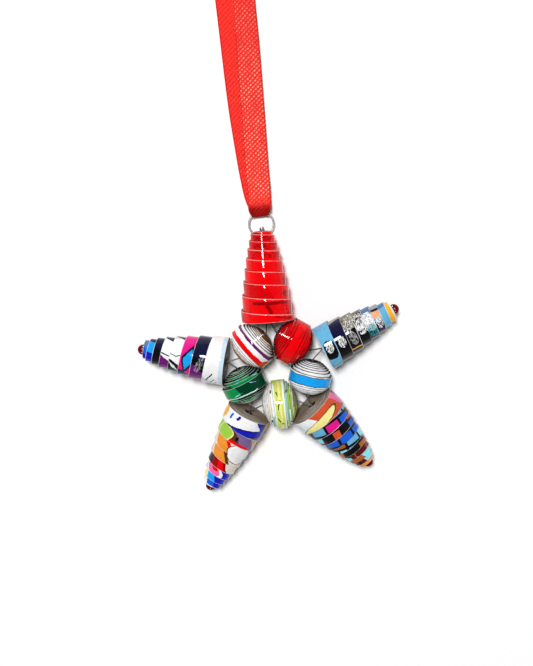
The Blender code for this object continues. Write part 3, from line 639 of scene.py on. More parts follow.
@dataclass
class RolledBead:
    """A strip of printed card rolled up on its bore: what cones and barrels share.

    `wide` is the bead's largest radius, `card` the room that each turn takes, `thinning` the share of it
    that is card, and `end_degrees` where the strip ends, round the bore from the left as seen along it.
    """

    name: str
    wide: float
    card: float
    end_degrees: float
    finish: PrintedCard
    bore: float = 0.0010
    step: float = 0.00034
    rows: int = 4
    edge_wander: float = 0.00010
    side_wander: float = 0.00007
    thinning: float = 0.95
    rounding: float = 0.13

    @property
    def last_under(self) -> float:
        """The radius under the strip at its outer end."""
        return self.wide - self.card

    @property
    def ramp_turns(self) -> float:
        """How many turns, counted from the outer end, the printed fields cover."""
        return self.exposed_turns() + 1.2

    @property
    def seed(self) -> float:
        """A number of the bead's own that moves its irregularities."""
        return sum(ord(letter) for letter in self.name) * 0.37

    def exposed_turns(self) -> float:
        """How many turns show on the outside."""
        raise NotImplementedError

    def ends_at(self, under: float) -> tuple[float, float]:
        """Where the strip's two edges lie along the bore, over a given radius."""
        raise NotImplementedError

    def turns_from_end(self, turn: int, degrees: float) -> float:
        """Turns back from the strip's outer end for a place on the bead."""
        return turn + (self.end_degrees - degrees) / 360.0

    def length_at(self, under: float) -> float:
        """Length of strip rolled when it lies over a given radius."""
        return math.pi * (under**2 - self.bore**2) / self.card

    def place_on_strip(self, mark: Mark) -> tuple[float, float]:
        """The middle of a mark on the flat strip, in millimetres."""
        under = self.last_under - self.card * self.turns_from_end(mark.turn, mark.degrees)
        side = 1 if mark.across >= 0 else 0
        own = self.ends_at(under)[side]
        covering = self.ends_at(under + self.card)[side] if mark.turn > 0 else 0.0
        height = covering + (own - covering) * abs(mark.across)
        return self.length_at(under) / MM, height / MM

    def cut_strip(self) -> bmesh.types.BMesh:
        """Cuts the flat strip to its taper and gives it the thickness of the card."""
        length = self.length_at(self.last_under)
        work = bmesh.new()
        bmesh.ops.create_grid(work, x_segments=round(length / self.step), y_segments=self.rows, size=0.5)
        for vertex in work.verts:
            along = (vertex.co.x + 0.5) * length
            low, high = self.ends_at(self.under_at(along))
            wander = noise.noise(Vector((along / MM * 0.13, self.seed, 0.0)))
            side = noise.noise(Vector((along / MM * 0.09, self.seed, 7.0)))
            low += side * self.side_wander
            high += wander * self.edge_wander
            vertex.co = Vector((along, low + (high - low) * (vertex.co.y + 0.5), 0.0))
        thickness = self.card * self.thinning
        bmesh.ops.solidify(work, geom=work.faces[:], thickness=-thickness)
        lowest = min(vertex.co.z for vertex in work.verts)
        bmesh.ops.translate(work, verts=work.verts, vec=(0.0, 0.0, -lowest - thickness / 2))
        bmesh.ops.recalc_face_normals(work, faces=work.faces[:])
        corners = [edge for edge in work.edges if edge.is_manifold and edge.calc_face_angle() > 1.0]
        bmesh.ops.bevel(work, geom=corners, offset=self.card * self.rounding, segments=2, profile=0.5,
                        affect="EDGES", clamp_overlap=True, material=-1)
        return work

    def under_at(self, along: float) -> float:
        """The radius under the strip at a length along it."""
        return math.sqrt(self.bore**2 + along * self.card / math.pi)

    def write_maps(self, work: bmesh.types.BMesh) -> None:
        """Keeps each point's place on the flat strip, for the print and the cut edges."""
        turns = work.verts.layers.float.new("turns")
        layer = work.verts.layers.float.new("layer")
        for vertex in work.verts:
            under = self.under_at(max(vertex.co.x, 0.0))
            vertex[turns] = (self.last_under - under) / self.card
            vertex[layer] = vertex.co.z / (self.card * self.thinning) + 0.5
        print_map = work.loops.layers.uv.new("print")
        border = work.loops.layers.uv.new("border")
        for face in work.faces:
            face.normal_update()
            face.material_index = 0 if face.normal.z > 0.9 else 1
            for loop in face.loops:
                place = loop.vert.co
                low, high = self.ends_at(self.under_at(max(place.x, 0.0)))
                loop[print_map].uv = (place.x / MM, place.y / MM)
                loop[border].uv = ((high - place.y) / MM, (place.y - low) / MM)

    def roll(self, work: bmesh.types.BMesh) -> None:
        """Rolls the flat strip up on its bore."""
        for vertex in work.verts:
            under = self.under_at(max(vertex.co.x, 0.0))
            back = (self.last_under - under) / self.card
            angle = math.radians(self.end_degrees) - back * math.tau
            radius = under + self.card / 2 + vertex.co.z
            vertex.co = Vector((radius * math.cos(angle), radius * math.sin(angle), vertex.co.y))

    def build(self, kind: str) -> bpy.types.Object:
        """Makes the bead in its place.

        Args:
            kind: The start of the names of its CAD node and of its body.

        Returns:
            The finished piece.
        """
        body = f"{kind}_{self.name}"
        work = self.cut_strip()
        self.write_maps(work)
        self.roll(work)
        bmesh.ops.transform(work, matrix=bead_frame(f"{body}_spin"), verts=work.verts)
        materials = [self.finish.material(self), self.finish.board.material(f"board_{self.name}")]
        piece = finish_piece(f"rolled_{kind}_{self.name}", work, materials)
        smooth(piece)
        return settle(piece, f"{kind}_bead_{self.name}", body)


@dataclass
class ConeBead(RolledBead):
    """An arm of the star: one slanting edge, so that every turn stands above the one before it."""

    length: float = 0.024
    tip: float = 0.0022
    end_width: float = 0.001
    mouth: float = 0.0
    mouth_depth: float = 0.0

    def exposed_turns(self) -> float:
        """The turns between the tip and the wide end."""
        return (self.last_under - self.tip) / self.card

    def ends_at(self, under: float) -> tuple[float, float]:
        """The flat end, and the slanting edge that travels in proportion to the length rolled."""
        rolled = max(under**2 - self.tip**2, 0.0) / (self.last_under**2 - self.tip**2)
        sunk = 1.0 - smooth_step(under, self.mouth - 0.00002, self.mouth + 0.00002)
        return 0.0, self.length - (self.length - self.end_width) * rolled - self.mouth_depth * sunk


@dataclass
class BarrelBead(RolledBead):
    """A bead of the inner ring: a strip with both edges slanting, rolled to a ball."""

    half_length: float = 0.0053
    fullness: float = 0.74
    pole: float = 0.0017
    edge_wander: float = 0.00006
    side_wander: float = 0.00006

    def exposed_turns(self) -> float:
        """The turns between the pole and the widest one."""
        return (self.last_under - self.pole) / self.card

    def ends_at(self, under: float) -> tuple[float, float]:
        """Both edges, drawn in so that the bead's outline is round."""
        over = max(under, self.pole) + self.card / 2
        half = self.half_length * math.sqrt(1.0 - (over / self.wide) ** (1.0 / self.fullness))
        return -half, half


def strip_of(*rows: tuple[Any, ...]) -> tuple[Field, ...]:
    """Printed fields from rows of a turn's number and its (degrees, ink) pairs, inmost turn first."""
    return tuple(Field(row[0], degrees, ink) for row in rows for degrees, ink in row[1:])


def red_card() -> PrintedCard:
    """Bright red card with darker bars, for the top cone."""
    fields = strip_of(
        (9, (0, Ink.CRIMSON)), (8, (60, Ink.RED)), (7, (30, Ink.SCARLET), (120, Ink.RED)),
        (6, (20, Ink.SCARLET), (70, Ink.RED)), (2, (0, Ink.SCARLET), (84, Ink.RED)),
    )
    marks = (
        Mark(7, 70, 0.5, 3.6, 0.9, Ink.CRIMSON, speckle=0.50),
        Mark(6, 120, 0.5, 4.2, 1.0, Ink.CRIMSON, speckle=0.46),
        Mark(5, 50, 0.5, 3.6, 1.1, Ink.CRIMSON, speckle=0.40),
        Mark(5, 140, 0.6, 2.4, 0.9, Ink.CRIMSON, speckle=0.42),
        Mark(3, 158, 0.40, 1.0, 1.7, Ink.CRIMSON, Outline.DIAMOND, 20),
        Mark(2, 146, 0.45, 0.9, 1.2, Ink.CRIMSON, Outline.DIAMOND, -20),
        Mark(1, 102, 0.74, 4.8, 0.40, Ink.CRIMSON, Outline.BLOCK, 2),
        Mark(1, 96, 0.34, 0.50, 1.3, Ink.CRIMSON, Outline.BLOCK, -26),
        Mark(1, 160, 0.45, 0.45, 2.2, Ink.CRIMSON, Outline.BLOCK, 12),
        Mark(0, 24, 0.50, 0.50, 1.0, Ink.CRIMSON, Outline.BLOCK, -24),
        Mark(0, 128, 0.62, 2.6, 0.22, Ink.CRIMSON, Outline.PILLOW, 8),
    )
    # The near-black end colour is painted shade, where this cone's flat end faces the barrels.
    board = CutBoard((0.50, 0.04, 0.035), (0.98, 0.60, 0.56), (0.05, 0.0, 0.0), (0.010, 0.006, 0.005))
    return PrintedCard(fields, marks=marks, paper=Ink.ROSE, line=0.16, edge_line_and_shade=(0.95, 0.36, 0.34),
                       board=board)


def blue_pink_card() -> PrintedCard:
    """Blues, white, purple and hot pink, for the left cone."""
    fields = strip_of(
        (8, (0, Ink.ROYAL), (95, Ink.COBALT)),
        (7, (0, Ink.ROYAL), (88, Ink.COBALT), (120, Ink.STEEL_BLUE)),
        (6, (0, Ink.ROYAL), (98, Ink.AZURE), (158, Ink.NAVY)),
        (5, (0, Ink.NAVY), (20, Ink.BLACK), (118, Ink.NAVY)),
        (4, (-8, Ink.BLACK), (16, Ink.PURPLE), (98, Ink.WHITE), (168, Ink.NAVY)),
        (3, (-8, Ink.TEAL), (42, Ink.BLACK), (84, Ink.WHITE), (172, Ink.BLACK)),
        (2, (-8, Ink.NAVY), (30, Ink.ROYAL), (42, Ink.BLACK), (50, Ink.MAGENTA)),
        (1, (-8, Ink.MAROON), (16, Ink.PURPLE), (80, Ink.BLACK), (106, Ink.NAVY)),
        (0, (-8, Ink.LILAC), (50, Ink.WHITE)),
    )
    marks = (
        Mark(4, 98, 0.5, 0.14, 2.2, Ink.BLACK, Outline.BLOCK, 16),
        Mark(3, 60, 0.5, 0.40, 2.2, Ink.WHITE, Outline.DIAMOND, 50),
        Mark(3, 134, 0.5, 2.6, 2.6, Ink.WHITE, rim=0.07),
        Mark(2, 92, 0.30, 3.0, 1.35, Ink.AZURE, Outline.DIAMOND, 16, rim=0.42),
        Mark(1, 84, 0.40, 2.4, 0.9, Ink.GREY, Outline.DISC, 20, speckle=0.4),
        Mark(0, 104, 0.06, 8.6, 0.85, Ink.ICE, Outline.BLOCK),
        Mark(0, 40, 0.50, 1.3, 0.16, Ink.STEEL_BLUE, Outline.BLOCK, 34),
        Mark(0, 30, 0.38, 1.1, 0.14, Ink.STEEL_BLUE, Outline.BLOCK, 34),
        Mark(0, 56, 0.66, 1.5, 0.18, Ink.BLACK, Outline.BLOCK, 34),
    )
    # The near-black end colour is painted shade, where this cone's flat end faces the barrels.
    board = CutBoard(core=(0.22, 0.21, 0.22), face=(0.82, 0.82, 0.84), end=(0.020, 0.013, 0.010))
    return PrintedCard(fields, marks=marks, slant=-0.02, board=board)


def patchwork_card() -> PrintedCard:
    """White, blue, green, orange and red patches, for the lower left cone."""
    fields = strip_of(
        (8, (0, Ink.MAROON), (60, Ink.WHITE)),
        (7, (0, Ink.ROYAL), (76, Ink.COBALT), (130, Ink.WHITE), (160, Ink.BLACK)),
        (6, (0, Ink.ROYAL), (92, Ink.AZURE), (140, Ink.LEMON)),
        (5, (0, Ink.ROYAL), (104, Ink.AZURE), (156, Ink.BLACK)),
        (4, (-10, Ink.CREAM), (56, Ink.CRIMSON), (74, Ink.RED), (100, Ink.CRIMSON), (124, Ink.BLACK),
         (156, Ink.COBALT)),
        (3, (-10, Ink.TAN), (18, Ink.CREAM), (72, Ink.BROWN), (78, Ink.ORANGE), (128, Ink.CREAM),
         (150, Ink.PEACH)),
        (2, (-10, Ink.TAN), (18, Ink.CREAM), (84, Ink.RED), (100, Ink.ORANGE), (132, Ink.CREAM),
         (152, Ink.AMBER)),
        (1, (-10, Ink.TAN), (24, Ink.VIOLET), (70, Ink.BROWN), (104, Ink.WHITE), (118, Ink.LEAF),
         (168, Ink.PEACH)),
        (0, (-20, Ink.NAVY), (10, Ink.ROYAL), (24, Ink.WHITE)),
    )
    marks = (
        Mark(5, 122, 0.45, 2.2, 1.25, Ink.PINK, Outline.DISC, 24, rim=0.42, rim_ink=Ink.WHITE),
        Mark(5, 116, 0.20, 1.0, 0.6, Ink.RED, Outline.DISC, 24),
        Mark(3, 58, 0.1, 2.6, 1.6, Ink.WHITE, Outline.DISC, 6, rim=0.10, rim_ink=Ink.BROWN),
        Mark(2, 62, 0.6, 3.2, 2.3, Ink.WHITE, Outline.DISC, 4, rim=0.08, rim_ink=Ink.BROWN),
        Mark(1, 80, 0.95, 3.2, 0.7, Ink.RED, Outline.PILLOW, 6),
        Mark(1, 92, 0.5, 0.5, 0.8, Ink.BLACK, Outline.DIAMOND, 16),
        Mark(1, 134, 0.55, 2.2, 1.8, Ink.LEAF, Outline.PILLOW, 20, rim=0.12, rim_ink=Ink.LEMON),
        Mark(0, 54, 1.0, 2.5, 1.0, Ink.VIOLET, Outline.PILLOW, -8),
        Mark(0, 94, 0.92, 9.5, 0.80, Ink.ROYAL, Outline.BLOCK, -11, rim=0.38),
        Mark(0, 134, 0.34, 0.30, 0.95, Ink.COBALT, Outline.PILLOW, 8),
        Mark(0, 112, 0.24, 0.34, 0.75, Ink.ROYAL, Outline.PILLOW, 24),
        Mark(0, 164, 0.40, 1.3, 2.0, Ink.AMBER),
    )
    board = CutBoard(core=(0.30, 0.24, 0.18), end=(0.40, 0.30, 0.20))
    return PrintedCard(fields, marks=marks, slant=0.02, wander=0.12, board=board)


def tile_card() -> PrintedCard:
    """A dark patchwork of bright tiles under a pale border, for the lower right cone."""
    fields = strip_of(
        (9, (0, Ink.PEACH), (60, Ink.ORANGE), (140, Ink.PEACH)),
        (8, (0, Ink.CYAN), (70, Ink.MAROON), (110, Ink.BLACK), (150, Ink.ORANGE)),
        (7, (0, Ink.CYAN), (66, Ink.RUST), (120, Ink.BLACK), (150, Ink.CRIMSON)),
        (6, (0, Ink.MAROON), (40, Ink.RUST), (84, Ink.MAROON), (118, Ink.BLACK)),
        (2, (0, Ink.BLACK)),
        (0, (-30, Ink.PINK), (-8, Ink.CRIMSON), (6, Ink.VERMILION), (70, Ink.WHITE), (118, Ink.ICE)),
    )
    marks = (
        Mark(0, 98, 0.78, 6.3, 1.25, Ink.LEMON, Outline.DISC, -7, rim=0.12, rim_ink=Ink.BROWN),
        Mark(6, 66, 0.4, 1.9, 1.5, Ink.MAROON, rim=0.14, rim_ink=Ink.RUST),
    )
    inks = (Ink.SKY, Ink.RUST, Ink.COBALT, Ink.CYAN, Ink.MAGENTA, Ink.BLACK, Ink.SKY, Ink.VERMILION,
            Ink.COBALT, Ink.CYAN)
    tiles = Tiles(1.0, 6.3, 4.3, 2.9, 0.36, math.radians(14), inks)
    board = CutBoard(core=(0.16, 0.10, 0.08), face=(0.60, 0.50, 0.44), end=(0.37, 0.28, 0.19))
    return PrintedCard(fields, marks=marks, tiles=tiles, slant=0.02, wear=0.03, board=board)


def denim_card() -> PrintedCard:
    """Sky blue, navy, grey grain and black with an orange tip, for the right cone."""
    fields = strip_of(
        (9, (0, Ink.PEACH)), (8, (0, Ink.CREAM), (140, Ink.AMBER)), (7, (0, Ink.AMBER)),
        (6, (-20, Ink.SKY), (20, Ink.STEEL_BLUE), (40, Ink.SKY)),
        (5, (-20, Ink.GREY), (24, Ink.BLACK), (38, Ink.PEACH), (70, Ink.SKY), (86, Ink.NAVY)),
        (4, (-20, Ink.STEEL_BLUE), (50, Ink.GREY), (100, Ink.NAVY)),
        (3, (-20, Ink.OLIVE), (50, Ink.GREY), (88, Ink.BLACK)),
        (2, (-20, Ink.OLIVE), (66, Ink.BLACK)), (1, (-20, Ink.GREY), (14, Ink.NAVY), (76, Ink.BLACK)),
        (0, (-30, Ink.SKY), (134, Ink.TEAL)),
    )
    marks = (
        Mark(7, 90, 0.95, 9.0, 0.36, Ink.CREAM, Outline.BLOCK),
        Mark(5, 100, 0.5, 1.6, 0.9, Ink.WHITE, speckle=0.5),
        Mark(4, 72, 0.5, 2.6, 1.3, Ink.WHITE, Outline.PILLOW, speckle=0.66),
        Mark(4, 112, 0.5, 1.8, 1.2, Ink.TEAL, Outline.PILLOW, speckle=0.5),
        Mark(3, 62, 0.5, 3.0, 1.5, Ink.WHITE, Outline.PILLOW, speckle=0.56),
        Mark(3, 36, 0.5, 2.6, 1.4, Ink.BLACK, Outline.PILLOW, 20, speckle=0.45),
        Mark(2, 36, 0.5, 4.0, 1.6, Ink.BLACK, Outline.PILLOW, 38, speckle=0.52),
        Mark(2, 44, 0.5, 3.0, 1.6, Ink.WHITE, Outline.PILLOW, 38, speckle=0.32),
        Mark(2, 96, 0.5, 1.9, 1.1, Ink.GREY, speckle=0.55),
        Mark(2, 130, 0.40, 0.20, 1.9, Ink.AMBER, Outline.BLOCK),
        Mark(1, 88, 0.5, 1.6, 1.1, Ink.WHITE, speckle=0.5),
        Mark(0, 92, 0.50, 2.6, 1.6, Ink.BLACK, Outline.PILLOW, 6),
        Mark(0, 84, 0.50, 1.6, 1.1, Ink.WHITE, Outline.DISC, 20, speckle=0.5),
    )
    # The near-black end colour is painted shade, where this cone's flat end faces the barrels.
    board = CutBoard(core=(0.20, 0.20, 0.20), face=(0.74, 0.76, 0.78), end=(0.030, 0.018, 0.012))
    return PrintedCard(fields, marks=marks, slant=0.0, wear=0.04, board=board)


def red_ball_card() -> PrintedCard:
    """Red windings with a few dark and rosy ones."""
    fields = strip_of(
        (9, (0, Ink.TAN)), (8, (90, Ink.CRIMSON)), (7, (60, Ink.RED)), (6, (20, Ink.CRIMSON), (60, Ink.RED)),
        (4, (90, Ink.SCARLET)), (3, (60, Ink.RED)), (2, (20, Ink.ROSE), (44, Ink.RED)),
        (1, (100, Ink.SCARLET)), (0, (30, Ink.RED), (100, Ink.SCARLET), (124, Ink.RED)),
    )
    far = strip_of(
        (9, (0, Ink.CRIMSON)), (8, (90, Ink.RED)), (6, (40, Ink.SCARLET)), (5, (70, Ink.RED)),
        (4, (90, Ink.ROSE), (130, Ink.RED)), (2, (40, Ink.SCARLET), (120, Ink.RED)),
        (1, (60, Ink.SCARLET)), (0, (0, Ink.RED)),
    )
    # Dark board and dark edge line: partly the card's own cut edge, partly painted shade down in each step.
    board = CutBoard(core=(0.08, 0.003, 0.003), face=(0.20, 0.010, 0.008), shade=(0.02, 0.0, 0.0))
    return PrintedCard(fields, far, gloss=0.18, paper=Ink.ROSE, board=board, wear=0.03, line=0.15,
                       edge_line_and_shade=(0.07, 0.0, 0.002))


def white_ball_card() -> PrintedCard:
    """White windings with red, purple and orange brown ones."""
    fields = strip_of(
        (7, (0, Ink.BROWN)), (6, (60, Ink.CREAM)), (4, (60, Ink.WHITE)),
    )
    far = strip_of(
        (9, (0, Ink.TAN)), (8, (0, Ink.WHITE)), (6, (20, Ink.RUST)), (5, (0, Ink.WHITE)),
    )
    marks = (
        Mark(0, 80, 0.62, 10.0, 0.74, Ink.RED, Outline.BLOCK),
        Mark(0, 10, 0.30, 3.6, 1.05, Ink.VERMILION, Outline.PILLOW),
        Mark(0, 28, -0.10, 1.0, 0.5, Ink.RED),
        Mark(0, 96, -0.86, 9.0, 0.52, Ink.PURPLE, Outline.BLOCK),
        Mark(0, 14, -0.55, 1.2, 0.30, Ink.MAROON, Outline.BLOCK),
    )
    # Dark board and dark edge line: partly the card's own cut edge, partly painted shade down in each step.
    board = CutBoard(core=(0.12, 0.045, 0.016), face=(0.20, 0.08, 0.03), shade=(0.03, 0.015, 0.008))
    return PrintedCard(fields, far, marks, wear=0.03, board=board, line=0.20, edge_line_and_shade=(0.15, 0.05, 0.015))


def green_ball_card() -> PrintedCard:
    """Deep green windings, with black, pale green and white ones near one pole."""
    fields = strip_of(
        (9, (0, Ink.MINT)), (8, (30, Ink.BLACK)), (7, (60, Ink.EMERALD), (130, Ink.BLACK)),
        (6, (40, Ink.BOTTLE)),
        (5, (60, Ink.BLACK)), (4, (30, Ink.EMERALD), (110, Ink.BLACK)),
        (3, (0, Ink.BOTTLE), (110, Ink.BLACK)),
        (2, (20, Ink.EMERALD), (60, Ink.TEAL), (76, Ink.EMERALD), (120, Ink.BLACK)),
        (1, (0, Ink.EMERALD), (96, Ink.BOTTLE)),
        (0, (0, Ink.BOTTLE), (96, Ink.EMERALD)),
    )
    far = strip_of(
        (8, (0, Ink.MINT)), (6, (90, Ink.BLACK)), (5, (0, Ink.BOTTLE)),
        (3, (60, Ink.EMERALD), (100, Ink.BLACK)),
        (2, (20, Ink.BOTTLE), (140, Ink.TEAL)), (1, (0, Ink.BLACK), (60, Ink.BOTTLE), (110, Ink.EMERALD)),
        (0, (0, Ink.BOTTLE), (92, Ink.EMERALD)),
    )
    marks = (
        Mark(0, 118, 0.9, 6.0, 0.11, Ink.WHITE, Outline.BLOCK),
        Mark(0, 60, -0.5, 0.9, 0.10, Ink.CYAN, Outline.PILLOW, 16, speckle=0.7),
        Mark(0, 112, 0.45, 1.4, 0.12, Ink.CYAN, Outline.PILLOW, -8, speckle=0.6),
        Mark(1, 40, -0.5, 1.4, 0.14, Ink.CYAN, Outline.PILLOW, 12, speckle=0.6),
    )
    # Dark board: partly the card's own cut edge, partly painted shade down in each step.
    board = CutBoard(core=(0.010, 0.03, 0.014), face=(0.10, 0.16, 0.10), shade=(0.002, 0.008, 0.004))
    return PrintedCard(fields, far, marks, board=board, wear=0.03, gloss=0.18, edge_line_and_shade=(0.66, 0.78, 0.68))


def lime_ball_card() -> PrintedCard:
    """White windings with lime, mint and small black specks."""
    fields = strip_of(
        (9, (0, Ink.OLIVE)), (8, (40, Ink.WHITE)), (3, (40, Ink.CREAM)), (2, (80, Ink.WHITE)),
        (0, (-40, Ink.LIME)),
    )
    far = strip_of(
        (9, (0, Ink.OLIVE)), (7, (90, Ink.LIME)), (6, (0, Ink.OLIVE)), (5, (90, Ink.LIME)),
        (4, (20, Ink.CREAM)), (3, (40, Ink.LEAF)), (2, (90, Ink.WHITE)), (1, (120, Ink.LIME)),
        (0, (0, Ink.LIME)),
    )
    marks = (
        Mark(0, 90, 0.86, 9.0, 0.34, Ink.WHITE, Outline.BLOCK),
        Mark(1, 90, 0.55, 9.0, 0.24, Ink.MINT, Outline.BLOCK),
        Mark(0, 90, 0.10, 9.0, 0.30, Ink.LEMON, Outline.BLOCK),
        Mark(0, 90, -0.85, 8.0, 0.22, Ink.WHITE, Outline.BLOCK),
        Mark(1, 130, -0.5, 2.4, 0.26, Ink.MINT, Outline.PILLOW),
        Mark(0, 78, -0.08, 1.3, 0.16, Ink.BLACK, Outline.PILLOW, 14),
        Mark(0, 116, -0.30, 0.8, 0.16, Ink.BLACK, Outline.PILLOW, -30),
        Mark(0, 128, 0.20, 0.16, 0.40, Ink.BLACK, Outline.BLOCK, 10),
        Mark(0, 52, -0.30, 0.7, 0.13, Ink.BLACK, Outline.PILLOW, -18),
        Mark(1, 40, -0.4, 0.6, 0.20, Ink.BLACK, Outline.DISC, 12),
        Mark(1, 44, 0.5, 0.5, 0.20, Ink.BLACK, Outline.DISC, 12),
        Mark(2, 128, -0.4, 0.5, 0.18, Ink.BLACK),
        Mark(2, 140, 0.5, 0.5, 0.18, Ink.BLACK),
    )
    # Dark board and dark edge line: partly the card's own cut edge, partly painted shade down in each step.
    board = CutBoard(core=(0.08, 0.10, 0.03), face=(0.14, 0.18, 0.06), shade=(0.012, 0.018, 0.006))
    return PrintedCard(fields, far, marks, board=board, wear=0.03, line=0.14, edge_line_and_shade=(0.09, 0.12, 0.03))


def blue_ball_card() -> PrintedCard:
    """A sky blue winding between white, black and tan ones."""
    fields = strip_of(
        (7, (0, Ink.GREY)), (6, (30, Ink.TAN)), (5, (60, Ink.SKY)), (5, (150, Ink.WHITE)),
    )
    far = strip_of(
        (7, (0, Ink.NAVY)), (6, (0, Ink.WHITE)),
    )
    marks = (
        Mark(0, 90, 0.02, 14.0, 1.15, Ink.AZURE, Outline.BLOCK, rim=0.16),
    )
    # Dark board and dark edge line: partly the card's own cut edge, partly painted shade down in each step.
    board = CutBoard(core=(0.012, 0.010, 0.009), face=(0.03, 0.025, 0.02), shade=(0.004, 0.004, 0.004))
    return PrintedCard(fields, far, marks, wear=0.03, board=board, line=0.16, edge_line_and_shade=(0.006, 0.005, 0.005))


def cones() -> tuple[ConeBead, ...]:
    """The five arms, with the sizes of their CAD solids."""
    sizes = (
        ("top", 0.0074, 0.00057, 195, red_card(), 0.0241, 0.0024, 0.0010, 0.0017, 0.00075),
        ("left", 0.0070, 0.00057, 345, blue_pink_card(), 0.0228, 0.0022, 0.0024, 0.00155, 0.0015),
        ("lower_left", 0.0064, 0.00050, 210, patchwork_card(), 0.0240, 0.0021, 0.0036, 0.00155, 0.0015),
        ("lower_right", 0.0072, 0.00050, 230, tile_card(), 0.0232, 0.0020, 0.0034, 0.00155, 0.0015),
        ("right", 0.0064, 0.00048, 200, denim_card(), 0.0217, 0.0024, 0.0026, 0.00155, 0.0015),
    )
    return tuple(
        ConeBead(name, wide, card, end, finish, length=length, tip=tip, end_width=end_width,
                 mouth=mouth, mouth_depth=depth)
        for name, wide, card, end, finish, length, tip, end_width, mouth, depth in sizes
    )


def barrels() -> tuple[BarrelBead, ...]:
    """The five beads of the inner ring, with the sizes of their CAD solids."""
    sizes = (
        ("red", 0.0065, 150, red_ball_card()),
        ("white", 0.0066, 240, white_ball_card()),
        ("green", 0.0061, 200, green_ball_card()),
        ("lime", 0.0069, 210, lime_ball_card()),
        ("blue", 0.0059, 220, blue_ball_card()),
    )
    card = 0.00058
    proud = 0.000125
    return tuple(BarrelBead(name, wide + proud, card, turn, finish) for name, wide, turn, finish in sizes)


def tube(path: Sequence[Vector], sides: Sequence[Vector], ups: Sequence[Vector],
         profile: Sequence[tuple[float, float]]) -> bmesh.types.BMesh:
    """Wraps a grid round a path as a closed tube.

    Args:
        path: The middle of each section.
        sides: Each section's sideways direction.
        ups: Each section's other direction.
        profile: The section's outline as (sideways, up), anticlockwise.

    Returns:
        The tube with its two ends closed, and its place along and round it in the UV map "cloth".
    """
    work = bmesh.new()
    stations, around = len(path) - 1, len(profile)
    bmesh.ops.create_grid(work, x_segments=stations, y_segments=around, size=0.5)
    cloth = work.loops.layers.uv.new("cloth")
    lengths = [0.0]
    for before, after in zip(path, path[1:]):
        lengths.append(lengths[-1] + (after - before).length / MM)
    widest = max(abs(across) for across, _ in profile) / MM
    for face in work.faces:
        for loop in face.loops:
            station = round((loop.vert.co.x + 0.5) * stations)
            spot = (loop.vert.co.y + 0.5) * 4 * widest - 2 * widest
            loop[cloth].uv = (lengths[station], spot)
    for vertex in work.verts:
        station = round((vertex.co.x + 0.5) * stations)
        across, height = profile[round((vertex.co.y + 0.5) * around) % around]
        vertex.co = path[station] + sides[station] * across + ups[station] * height
    bmesh.ops.remove_doubles(work, verts=work.verts, dist=0.000002)
    bmesh.ops.holes_fill(work, edges=[edge for edge in work.edges if edge.is_boundary], sides=0)
    bmesh.ops.recalc_face_normals(work, faces=work.faces)
    return work


def round_profile(radius: float, segments: int) -> list[tuple[float, float]]:
    """A circle as a tube's section."""
    turns = [math.tau * index / segments for index in range(segments)]
    return [(radius * math.cos(turn), radius * math.sin(turn)) for turn in turns]


@dataclass(frozen=True)
class BrightWire:
    """Finish of the drawn steel wire and of the plated jump ring."""

    name: str
    colour: Colour
    dull: Colour
    roughness: float = 0.30

    def material(self) -> bpy.types.Material:
        """Bright metal with faint drawing lines and dull spots."""
        material, bench, shader = new_material(self.name)
        place = bench.millimetres()
        cloud = bench.noise(place, 1.4, 3.0, 0.6)
        scratch = bench.noise(place, 9.0, 2.0, 0.7)
        bench.feed(shader, {
            "Base Color": bench.ramp(cloud, [(0.25, self.dull), (0.6, self.colour)]), "Metallic": 1.0,
            "Roughness": bench.plus(self.roughness, bench.times(scratch, 0.12)),
            "Normal": bench.bump(scratch, 0.00001, 0.5),
        })
        return material


@dataclass(frozen=True)
class RubyGlass:
    """Finish of the dark red seed beads."""

    colour: Colour = (0.30, 0.003, 0.008)
    dark: Colour = (0.16, 0.001, 0.003)

    def material(self) -> bpy.types.Material:
        """Dark red glass, a little uneven."""
        material, bench, shader = new_material("ruby_glass")
        cloud = bench.noise(bench.millimetres(), 1.1, 2.0)
        bench.feed(shader, {
            "Base Color": bench.ramp(cloud, [(0.3, self.dark), (0.7, self.colour)]), "Roughness": 0.06,
            "Transmission Weight": 0.45, "IOR": 1.52, "Normal": bench.bump(cloud, 0.00005, 0.6),
        })
        return material


